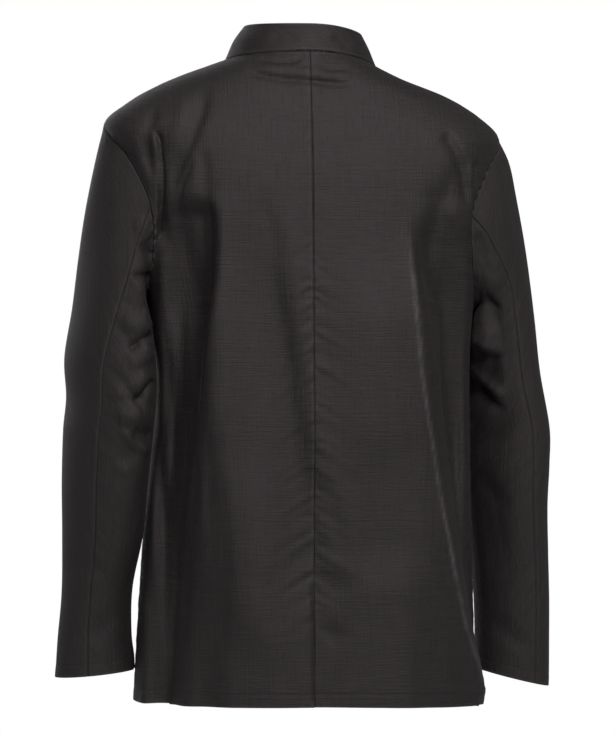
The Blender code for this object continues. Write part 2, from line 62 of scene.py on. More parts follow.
# ---- the body, as sections from the hem up ---------------------------------------------------
Section = namedtuple("Section", "name z_back z_left z_right z_front left right back front power")
BODY = [
    Section("hem", -740, -744, -747, -738, 199, 203, 152, 147, 2.30),
    Section("hem_top", -723, -727, -730, -721, 198, 202, 152, 147, 2.30),
    Section("skirt", -655, -655, -657, -655, 194, 199, 150, 145, 2.30),
    Section("hip", -560, -560, -560, -560, 188, 195, 148, 143, 2.35),
    Section("waist", -460, -460, -460, -460, 180.5, 193, 145, 141, 2.40),
    Section("ribs", -360, -360, -362, -360, 174.5, 192, 142, 138, 2.50),
    Section("underarm", -280, -275, -290, -280, 184, 196, 138, 134, 2.60),
    Section("lower_armhole", -228, -212, -228, -232, 194, 204, 134, 130, 2.70),
    Section("mid_armhole", -180, -158, -173, -195, 206, 209, 130, 125, 2.80),
    Section("upper_armhole", -136, -112, -127, -162, 219, 218, 125, 120, 2.80),
    Section("shoulder_tip", -97, -75, -91, -134, 233, 227, 117, 113, 2.75),
    Section("outer_shoulder", -64, -48, -65, -112, 203, 203, 108, 104, 2.60),
    Section("mid_shoulder", -37, -27, -43, -94, 165, 167, 99, 93, 2.45),
    Section("inner_shoulder", -14, -11, -25, -77, 125, 120, 90, 78, 2.25),
    Section("neck", 6, 1, -8, -62, 91, 83, 80, 64, 2.10),
]
COLLAR = [
    BODY[-1],
    Section("stand", 24, 23, 13, -46, 82, 75, 74, 60, 2.10),
    Section("top", 39, 41, 31, -31, 69, 66, 66, 54, 2.10),
]
UNDERARM = 6
SHOULDER_TIP = 10
NECK = 14
COLLAR_END = 177.0
ARMHOLE_BACK = 31.0
ARMHOLE_FRONT = 33.0
ARMHOLE_ROUND_LOW = 1.9
ARMHOLE_ROUND_HIGH = 1.4
ARMHOLE_CROWD = 1.3

# ---- the sleeves, as sections from the armhole down ------------------------------------------
Ring = namedtuple("Ring", "name outer_x outer_z inner_x inner_z outer_y inner_y depth back_seam")
SLEEVE_LEFT = [
    Ring("armhole", 233, -75, 185, -275, 0, 0, 75, 72),
    Ring("head", 240, -103, 194, -283, 0, 4, 75, 76),
    Ring("upper", 248.5, -142, 191, -298, 0, 18, 74, 79),
    Ring("arm", 256.5, -185, 182, -313, -1, 36, 72, 81),
    Ring("biceps", 263.5, -235, 178, -332, -3, 48, 69, 82),
    Ring("lower_arm", 270, -288, 176, -353, -5, 57, 66, 81),
    Ring("above_elbow", 279, -345, 175, -378, -6, 62, 63, 79),
    Ring("elbow", 277, -391, 176.5, -405, -5, 61, 61, 77),
    Ring("below_elbow", 280.5, -430, 179.5, -438, -5, 55, 59, 77),
    Ring("forearm", 282, -490, 184.5, -492, -8, 41, 56, 77),
    Ring("mid_forearm", 281.5, -550, 189.5, -550, -13, 23, 52, 78),
    Ring("low_forearm", 282, -618, 201, -612, -18, 1, 48, 78),
    Ring("wrist", 286.5, -672, 202, -664, -24, -11, 46, 78),
    Ring("cuff_top", 288.5, -703, 198.5, -694, -26, -16, 45, 78),
    Ring("cuff", 290, -719, 197, -709, -27, -18, 45, 78),
]
SLEEVE_RIGHT = [
    Ring("armhole", 229, -91, 196, -290, 0, 0, 75, 75),
    Ring("head", 241, -116, 206, -297, 0, -3, 75, 76),
    Ring("upper", 249, -155, 206, -310, -1, -10, 74, 77),
    Ring("arm", 257, -200, 202, -326, -1, -20, 71, 76),
    Ring("biceps", 264, -248, 198, -344, -2, -29, 68, 74),
    Ring("lower_arm", 271, -302, 195.5, -365, -3, -37, 65, 71),
    Ring("above_elbow", 278, -362, 194.5, -392, -6, -44, 62, 68),
    Ring("elbow", 290, -427, 194.5, -434, -10, -48, 59, 62),
    Ring("below_elbow", 290.5, -470, 195.5, -473, -13, -50, 57, 60),
    Ring("forearm", 289, -520, 198.5, -519, -18, -52, 54, 58),
    Ring("mid_forearm", 291, -575, 203.5, -572, -26, -52, 51, 57),
    Ring("low_forearm", 293.5, -630, 207.5, -625, -34, -52, 48, 57),
    Ring("wrist", 294.5, -684, 209, -671, -41, -53, 46, 58),
    Ring("cuff_top", 295, -719, 209, -699, -45, -55, 45, 58),
    Ring("cuff", 295, -735, 209, -714, -47, -56, 45, 58),
]
FRONT_SEAM = 118.0
HEAD_FADE = {1: 6.0, -1: 4.0}

# ---- the largest folds, as in the frame's solids ---------------------------------------------
Fold = namedtuple("Fold", "name z_top z_bottom angle_top angle_mid angle_bottom spread height")
FOLD_RISE = 0.25
FOLD_FADE = 0.30
HEM_END = -700
BODY_FOLDS = [
    Fold("right_ridge", -150, -745, -27, -45, -70, 6.5, 9),
    Fold("right_hollow", -140, -745, -41, -59, -84, 8.0, -9),
    Fold("left_ridge", -170, -745, 29, 33, 40, 7.0, 6),
    Fold("left_hollow", -150, -745, 43, 48, 56, 9.0, -14),
    Fold("left_side_ridge", -190, -560, 56, 60, 63, 5.5, 3),
    Fold("left_armhole_fold", -85, -240, 47, 52, 56, 4.0, -5),
    Fold("right_blade_hollow", -110, -300, -45, -37, -40, 6.0, -4),
    Fold("left_blade_hollow", -60, -260, 36, 42, 50, 6.0, -4),
    Fold("back_swell", -330, -745, 8, 9, 10, 10.0, 3),
    Fold("front_left_ridge", -170, -735, 128, 126, 122, 8.0, 7),
    Fold("front_left_hollow", -170, -735, 112, 110, 107, 7.0, -7),
    Fold("front_right_ridge", -180, -735, -130, -127, -124, 8.0, 7),
    Fold("front_right_hollow", -180, -735, -113, -111, -108, 7.0, -6),
]
SleeveFold = namedtuple("SleeveFold", "name at slant angle reach spread height")
LEFT_SLEEVE_FOLDS = [
    SleeveFold("upper_pocket", 0.36, 0.0006, 118, 42, 0.030, -4),
    SleeveFold("elbow_crease", 0.47, 0.0010, 120, 40, 0.022, -5),
    SleeveFold("elbow_bulge", 0.53, 0.0008, 116, 40, 0.024, 3.5),
    SleeveFold("low_crease", 0.60, -0.0008, 120, 36, 0.024, -3.5),
    SleeveFold("wrist_crease", 0.84, -0.0006, 100, 50, 0.022, -2.5),
    SleeveFold("front_elbow_crease", 0.50, 0.0006, -80, 55, 0.026, -5),
    SleeveFold("front_low_crease", 0.60, -0.0006, -90, 50, 0.026, -4),
]
RIGHT_SLEEVE_FOLDS = [
    SleeveFold("upper_pocket", 0.40, 0.0008, 118, 38, 0.026, -4.5),
    SleeveFold("elbow_ridge", 0.45, 0.0012, 112, 42, 0.020, 3.5),
    SleeveFold("elbow_crease", 0.51, 0.0012, 112, 42, 0.022, -4),
    SleeveFold("low_crease", 0.62, -0.0008, 118, 36, 0.024, -3),
    SleeveFold("wrist_crease", 0.85, -0.0006, 100, 50, 0.022, -2.5),
    SleeveFold("front_elbow_crease", 0.51, 0.0006, -80, 55, 0.026, -5),
    SleeveFold("front_low_crease", 0.61, -0.0006, -90, 50, 0.026, -4),
]

# ---- small helpers ---------------------------------------------------------------------------
def smooth(x):
    """Rise from 0 to 1 with level ends."""
    x = np.clip(x, 0.0, 1.0)
    return x * x * (3 - 2 * x)


def unit(v):
    """Vectors of length 1 along the last axis."""
    return v / np.maximum(np.linalg.norm(v, axis=-1, keepdims=True), 1e-9)


def between(values, place):
    """Values at places between the rows of an array, on a smooth curve through them."""
    last = len(values) - 1
    row = np.clip(place.astype(int), 0, last - 1)
    f = (place - row).reshape(place.shape + (1,) * (values.ndim - 1))
    p0, p1, p2, p3 = (values[np.clip(row + k, 0, last)] for k in (-1, 0, 1, 2))
    bend = 2 * p0 - 5 * p1 + 4 * p2 - p3 + f * (3 * (p1 - p2) + p3 - p0)
    return p1 + 0.5 * f * (p2 - p0 + f * bend)


def spline(table, place, column):
    """Values of one column of a table at places between its rows."""
    values = np.array([getattr(row, column) for row in table], float)
    return between(values, np.asarray(place, float))


def waves(x, seed, count=5, long=60.0, short=9.0):
    """Uneven ripple from about -1 to 1 along x, in millimetres, the same on each run."""
    rng = np.random.default_rng(seed)
    total = np.zeros_like(x, dtype=float)
    for length in np.geomspace(long, short, count):
        total += np.sin(2 * math.pi * x / (length * rng.uniform(0.85, 1.2)) + rng.uniform(0, 6.3))
    return total / math.sqrt(count)


# ---- the body surface ------------------------------------------------------------------------
def fold_lift(angle, z):
    """How far the largest folds lift the body surface at angles and heights."""
    lift = np.zeros(np.broadcast(angle, z).shape)
    for fold in BODY_FOLDS:
        share = (fold.z_top - z) / (fold.z_top - fold.z_bottom)
        fade = smooth(share / FOLD_RISE)
        if fold.z_bottom > HEM_END:
            fade = fade * smooth((1 - share) / FOLD_FADE)
        s = np.clip(share, 0, 1)
        a, b, c = fold.angle_top, fold.angle_mid, fold.angle_bottom
        middle = a + (4 * b - 3 * a - c) * s + 2 * (a - 2 * b + c) * s * s
        lift += fold.height * fade * np.exp(-((angle - middle) / fold.spread) ** 2)
    return lift


def body_points(table, place, angle):
    """Points for places (rows, 1) and angles (rows, columns): 0 centre back, 90 left side."""
    turn = np.radians(angle)
    side, along = np.sin(turn), np.cos(turn)
    power = 2 / spline(table, place, "power")
    half = np.where(side >= 0, spline(table, place, "left"), spline(table, place, "right"))
    depth = np.where(along >= 0, spline(table, place, "back"), spline(table, place, "front"))
    x = np.sign(side) * np.abs(side) ** power * half
    y = np.sign(along) * np.abs(along) ** power * depth
    centre = np.where(along >= 0, spline(table, place, "z_back"), spline(table, place, "z_front"))
    edge = np.where(side >= 0, spline(table, place, "z_left"), spline(table, place, "z_right"))
    z = centre + (edge - centre) * side * side
    if table is BODY:
        away = unit(np.stack([x / half ** 2, y / depth ** 2, 0 * x], -1))
        lift = fold_lift(angle, z)
        x = x + away[..., 0] * lift
        y = y + away[..., 1] * lift
    return np.stack([x, y, z], -1)


def armhole_angle(place, cut):
    """Angle of a panel's outer edge: the side seam, the armhole or the shoulder seam."""
    share = (place - UNDERARM) / (SHOULDER_TIP - UNDERARM)
    p = np.where(share > 0.5, ARMHOLE_ROUND_HIGH, ARMHOLE_ROUND_LOW)
    inside = np.clip(1 - np.abs(2 * share - 1) ** p, 0, 1)
    return 90 - cut * inside ** (1 / p)


def lap_angle(place):
    """Angle of the free front edge, past the centre front, for a constant lap width."""
    z = spline(BODY, place, "z_front")
    width = LAP_LOW + (LAP_TOP - LAP_LOW) * smooth((z - LAP_LOW_Z) / LAP_WIDENS)
    half = 0.5 * (spline(BODY, place, "left") + spline(BODY, place, "right"))
    power = spline(BODY, place, "power")
    return 180 + np.degrees(np.arcsin((width / half) ** (power / 2)))


# ---- grid lines: about STEP apart, and close together beside seams and edges -------------------
STEP = 3.2
CLOSE = (0.35, 0.8, 1.4, 2.2, 3.4, 5.2)       # distances from a seam or edge, in millimetres


def lines(length, low=CLOSE, high=CLOSE, step=STEP, extra=()):
    """Shares from 0 to 1 of a length, close together at its ends and round the extra places."""
    marks = [0.0, length, *low, *(length - d for d in high)]
    for spot in extra:
        marks += [spot + d for d in (-3.0, -1.7, -0.9, -0.4, 0.0, 0.4, 0.9, 1.7, 3.0)]
    marks = sorted(set(round(m, 3) for m in marks if 0 <= m <= length))
    found = []
    for a, b in zip(marks, marks[1:]):
        count = max(1, int(round((b - a) / step)))
        found += [a + (b - a) * k / count for k in range(count)]
    return np.array(found + [length]) / length


UNDER_LENGTH = 462.0
SHOULDER_LENGTH = 176.0
ARMHOLE_LENGTH = 290.0
BACK_SEAM_SHARE = 4 / 9      # the sleeve's seams leave the armhole at these shares from its top
FRONT_SEAM_SHARE = 6 / 9
ARM_SHARES = lines(ARMHOLE_LENGTH, low=(), high=(), step=3.8,
                   extra=(ARMHOLE_LENGTH * BACK_SEAM_SHARE, ARMHOLE_LENGTH * FRONT_SEAM_SHARE))
NEAR = int(np.argmin(np.abs(ARM_SHARES - BACK_SEAM_SHARE)))
FAR = int(np.argmin(np.abs(ARM_SHARES - FRONT_SEAM_SHARE)))


def body_places():
    """Row places from the hem to the neck, and the first and last row of the armhole."""
    under = lines(UNDER_LENGTH, high=(), extra=(HEM_DEPTH,))
    wanted = BODY[0].z_back + (BODY[UNDERARM].z_back - BODY[0].z_back) * under
    fine = np.linspace(0, UNDERARM, 1200)
    low = np.interp(wanted, spline(BODY, fine, "z_back"), fine)
    arm = UNDERARM + (SHOULDER_TIP - UNDERARM) * (1 - ARM_SHARES[::-1]) ** ARMHOLE_CROWD
    fine = np.linspace(SHOULDER_TIP, NECK, 800)
    out = -spline(BODY, fine, "left")
    run = (out - out[0]) / (out[-1] - out[0])
    high = np.interp(lines(SHOULDER_LENGTH, low=(), extra=(SHOULDER_LENGTH - 4.2,)), run, fine)
    rows = np.concatenate([low[:-1], arm, high[1:]])
    return rows, len(low) - 1, len(low) + len(arm) - 2


ROWS, FIRST_ARM, LAST_ARM = body_places()
BACK_SHARES = lines(262.0)
FRONT_SHARES = lines(250.0, high=())
LAP_SHARES = lines(88.0, low=(), extra=(82.0,))


def spread_angles(edge, shares):
    """Angles from the centre to an outer edge, drawn in most near that edge."""
    return 90 * shares - (90 - edge) * shares ** 2


def back_grid(side):
    """Rows from the hem up, columns from the centre back to the outer edge."""
    place = ROWS[:, None]
    return body_points(BODY, place, side * spread_angles(armhole_angle(place, ARMHOLE_BACK), BACK_SHARES))


def front_angles(place):
    """Angles from the side seam towards the centre front, as far as the end of the collar."""
    start = 180 - COLLAR_END
    edge = armhole_angle(place, ARMHOLE_FRONT)
    inner = spread_angles(edge, 1 - FRONT_SHARES)
    return 180 - (start + inner * (edge - start) / edge)


def front_grid(side):
    """Rows from the hem up, columns from the outer edge to past the centre front."""
    place = ROWS[:, None]
    angles = front_angles(place)
    lap = COLLAR_END + (lap_angle(place) - COLLAR_END) * LAP_SHARES[1:]
    angles = np.concatenate([angles, lap], 1)
    grid = body_points(BODY, place, side * np.where(angles <= 180, angles, angles - 360))
    free = len(FRONT_SHARES)
    drop = LAP_DROP * smooth((np.arange(grid.shape[1]) - free + 2) / 4)[None, :, None]
    near = smooth(1 - (ROWS[-1] - place) / 0.5)[..., None]
    return grid - drop * near * np.array([0, 0, 1.0])


def collar_grid():
    """Rows from the neck seam up, columns from the right end round the back to the left end."""
    back = spread_angles(90.0, BACK_SHARES)[:-1]
    left = np.concatenate([back, front_angles(np.array([[float(NECK)]]))[0]])
    angles = np.concatenate([-left[:0:-1], left])
    shares = lines(50.0, step=2.0)
    return body_points(COLLAR, 2 * shares[:, None], angles[None, :])


# ---- the sleeves -----------------------------------------------------------------------------
def ring_angles(back_seam):
    """Degrees of a ring's points: over the back to the underarm, and on round the front."""
    s, b, f = ARM_SHARES[None, :], BACK_SEAM_SHARE, FRONT_SEAM_SHARE
    over_back = np.where(s <= b, back_seam * s / b, back_seam + (180 - back_seam) * (s - b) / (1 - b))
    over_front = np.where(s <= f, FRONT_SEAM * s / f, FRONT_SEAM + (180 - FRONT_SEAM) * (s - f) / (1 - f))
    over_front = 360 - over_front[:, -2:0:-1] + 0 * back_seam
    return np.concatenate([over_back, over_front], 1)


def sleeve_points(table, place, angle, side):
    """Points of a sleeve's sections, without folds."""
    value = {name: spline(table, place, name) for name in Ring._fields[1:]}
    outer = np.stack([value["outer_x"], value["outer_y"], value["outer_z"]], -1)
    inner = np.stack([value["inner_x"], value["inner_y"], value["inner_z"]], -1)
    turn = np.radians(angle)[..., None]
    point = (outer + inner) / 2 + (outer - inner) / 2 * np.cos(turn)
    point[..., 1] += value["depth"] * np.sin(turn[..., 0])
    point[..., 0] *= side
    return point


def sleeve_lift(folds, share, angle):
    """Height of all folds of a sleeve at a share of its length."""
    signed = np.where(angle <= 180, angle, angle - 360)
    lift = np.zeros(np.broadcast(share, angle).shape)
    for fold in folds:
        round_by = signed - fold.angle
        fade = np.where(np.abs(round_by) < fold.reach, np.cos(math.pi / 2 * round_by / fold.reach) ** 2, 0)
        lift += fold.height * fade * np.exp(-((share - fold.at - fold.slant * round_by) / fold.spread) ** 2)
    return lift


def armhole_ring(back, front):
    """The armhole's points: down the back panel's edge, then up the front panel's edge."""
    down = back[LAST_ARM:FIRST_ARM - 1:-1, -1]
    up = front[FIRST_ARM:LAST_ARM + 1, 0]
    return np.concatenate([down, up[1:-1]])


def sleeve_rings(table, folds, side, armhole):
    """Closed rings from the armhole to the cuff; the first one is the armhole itself."""
    last = len(table) - 1
    fine = np.linspace(0, last, 1500)
    mids = 0.5 * (sleeve_points(table, fine[:, None], np.zeros((1500, 1)), side)
                  + sleeve_points(table, fine[:, None], np.full((1500, 1), 180.0), side))[:, 0]
    run = np.concatenate([[0], np.cumsum(np.linalg.norm(np.diff(mids, axis=0), axis=1))])
    shares = lines(run[-1], extra=(run[-1] - 16.0,))
    place = np.interp(shares * run[-1], run, fine)[:, None]
    angles = ring_angles(spline(table, place, "back_seam"))
    start = sleeve_points(table, np.zeros((1, 1)), ring_angles(np.array([[float(table[0].back_seam)]])), side)
    middle = 0.5 * (sleeve_points(table, place, 0 * place, side)
                    + sleeve_points(table, place, 0 * place + 180, side))
    keep = (1 - smooth(place / HEAD_FADE[side]))[..., None]
    point = sleeve_points(table, place, angles, side) + (armhole[None] - start) * keep
    away = unit(point - middle)
    point = point + away * sleeve_lift(folds, place / last, angles)[..., None]
    point[0] = armhole
    return point


def split_sleeve(rings):
    """Upper piece, from the front seam over the top to the back seam, and the under piece."""
    seam = rings.shape[1] - FAR
    upper = np.concatenate([rings[:, seam:], rings[:, :NEAR + 1]], 1)
    return upper, rings[:, NEAR:seam + 1]


# ---- the view that the creases on the back are placed in ----------------------------------------
AZIMUTH = math.radians(175.3)
DISTANCE = 4000.0
HALF_HEIGHT = 430.0          # half the height of the view at the target, in millimetres
FRAME_WIDTH, FRAME_HEIGHT = 615, 735
RIGHT = np.array([math.cos(AZIMUTH), math.sin(AZIMUTH), 0.0])
TOWARDS = np.array([math.sin(AZIMUTH), -math.cos(AZIMUTH), 0.0])
TARGET = RIGHT * 4.1 + np.array([0, 0, -357.0])
SCALE = HALF_HEIGHT * 2 / FRAME_HEIGHT


def seen(points):
    """Where points stand in the view, in units of SCALE millimetres, from its upper left corner."""
    away = points - TARGET
    grow = DISTANCE / (DISTANCE - away @ TOWARDS) / SCALE
    return np.stack([FRAME_WIDTH / 2 + (away @ RIGHT) * grow, FRAME_HEIGHT / 2 - away[..., 2] * grow], -1)


# ---- pieces ----------------------------------------------------------------------------------
class Piece:
    """One cut piece: its grid, the normal at each point and how its wall lies on the grid."""

    def __init__(self, name, kind, grid, outward, thick=CLOTH):
        self.name = name
        self.kind = kind
        self.grid = grid
        self.outward = outward
        self.base = grid.copy()
        self.thick = thick
        self.outer = np.full(grid.shape[:2], thick / 2)
        self.inner = np.full(grid.shape[:2], -thick / 2)
        self.wear = np.zeros(grid.shape[:2])
        self.find_normals()
        across = np.linalg.norm(np.diff(grid, axis=1), axis=2)
        along = np.linalg.norm(np.diff(grid, axis=0), axis=2)
        self.from_left = np.concatenate([np.zeros((grid.shape[0], 1)), np.cumsum(across, 1)], 1)
        self.from_right = self.from_left[:, -1:] - self.from_left
        self.from_bottom = np.concatenate([np.zeros((1, grid.shape[1])), np.cumsum(along, 0)], 0)
        self.from_top = self.from_bottom[-1:] - self.from_bottom

    def find_normals(self):
        """Normals by differences along rows and columns, turned to the outward side."""
        g = self.grid
        across, along = np.empty_like(g), np.empty_like(g)
        across[:, 1:-1] = unit(g[:, 2:] - g[:, 1:-1]) + unit(g[:, 1:-1] - g[:, :-2])
        across[:, 0], across[:, -1] = g[:, 1] - g[:, 0], g[:, -1] - g[:, -2]
        along[1:-1] = unit(g[2:] - g[1:-1]) + unit(g[1:-1] - g[:-2])
        along[0], along[-1] = g[1] - g[0], g[-1] - g[-2]
        self.normals = unit(np.cross(across, along)) * self.outward

    def edge_index(self):
        """Rows and columns of the points on the piece's edge."""
        rows, columns = self.grid.shape[:2]
        on = np.zeros((rows, columns), bool)
        on[0] = on[-1] = on[:, 0] = on[:, -1] = True
        return np.argwhere(on)

    def push(self, lift):
        """Move each point along its normal."""
        self.grid = self.grid + self.normals * lift[..., None]

    def face(self):
        """Points of the outer face."""
        return self.grid + self.normals * self.outer[..., None]


def seam_groups(pieces):
    """Points that pieces share on their edges, as lists of (piece, row, column)."""
    groups = {}
    for piece in pieces:
        for r, c in piece.edge_index():
            key = tuple(np.round((piece.base[r, c] + 0.00371) / 0.02).astype(int))
            groups.setdefault(key, []).append((piece, r, c))
    return [group for group in groups.values() if len(group) > 1]


def share_normals(groups):
    """One normal for the points of each group: body, sleeve and collar count the same."""
    for group in groups:
        by_kind = {}
        for piece, r, c in group:
            by_kind[piece.kind] = by_kind.get(piece.kind, 0) + piece.normals[r, c]
        total = unit(sum(unit(normal) for normal in by_kind.values()))
        for piece, r, c in group:
            piece.normals[r, c] = total


def settle(pieces, groups):
    """Give the points of each group one place, and find the normals again."""
    for group in groups:
        middle = sum(piece.grid[r, c] for piece, r, c in group) / len(group)
        for piece, r, c in group:
            piece.grid[r, c] = middle
    for piece in pieces:
        piece.find_normals()
    share_normals(groups)


# ---- creases, listed one by one --------------------------------------------------------------
# The tables of creases have a list for each kind of piece.  A crease is its name, its height (+ is a
# ridge), how far it reaches to the left and to the right of its path, the radius of its crest, all
# in millimetres, the shares of its length over which it grows and dies away, and then x and y of
# each place on its path.
PATH_POINTS = 60
CREASE_REACH = 3.2           # a crease has died out this many times its reach from its path
ROUND_CREST = 3              # a crest of a larger radius has softly rounded sides too


def crease_lift(crease, at, unit_size):
    """Lift of one crease at places of a view; only places near the path are worked out."""
    _, height, left, right, crest, rise, fade, *path = crease
    path = np.array(path, float).reshape(-1, 2)
    line = between(path, np.linspace(0, len(path) - 1, PATH_POINTS))
    reach = CREASE_REACH * max(left, right) / unit_size + 2
    low, high = line.min(0) - reach, line.max(0) + reach
    near = ((at > low) & (at < high)).all(-1)
    lift = np.zeros(at.shape[:-1])
    if not near.any():
        return lift
    p = at[near]
    a, step = line[:-1], np.diff(line, axis=0)
    size = np.maximum((step ** 2).sum(1), 1e-9)
    run = np.concatenate([[0], np.cumsum(np.sqrt(size))])
    best, side, place = np.full(len(p), 1e9), np.zeros(len(p)), np.zeros(len(p))
    for k in range(len(a)):
        w = p - a[k]
        t = np.clip((w @ step[k]) / size[k], 0, 1)
        gap = w - t[:, None] * step[k]
        far = np.hypot(gap[:, 0], gap[:, 1])
        closer = far < best
        best = np.where(closer, far, best)
        turn = step[k][1] * gap[:, 0] - step[k][0] * gap[:, 1]
        side = np.where(closer, turn, side)
        place = np.where(closer, run[k] + t * math.sqrt(size[k]), place)
    share = place / run[-1]
    far = best * unit_size
    wide = np.where(side > 0, right, left)
    rounded = np.sqrt(far ** 2 + crest ** 2) - crest
    grow = smooth(share / rise) if rise > 0 else 1.0
    die = smooth((1 - share) / fade) if fade > 0 else 1.0
    form = np.exp(-(rounded / wide) ** (2.0 if crest > ROUND_CREST else 1.5))
    lift[near] = height * form * grow * die
    return lift


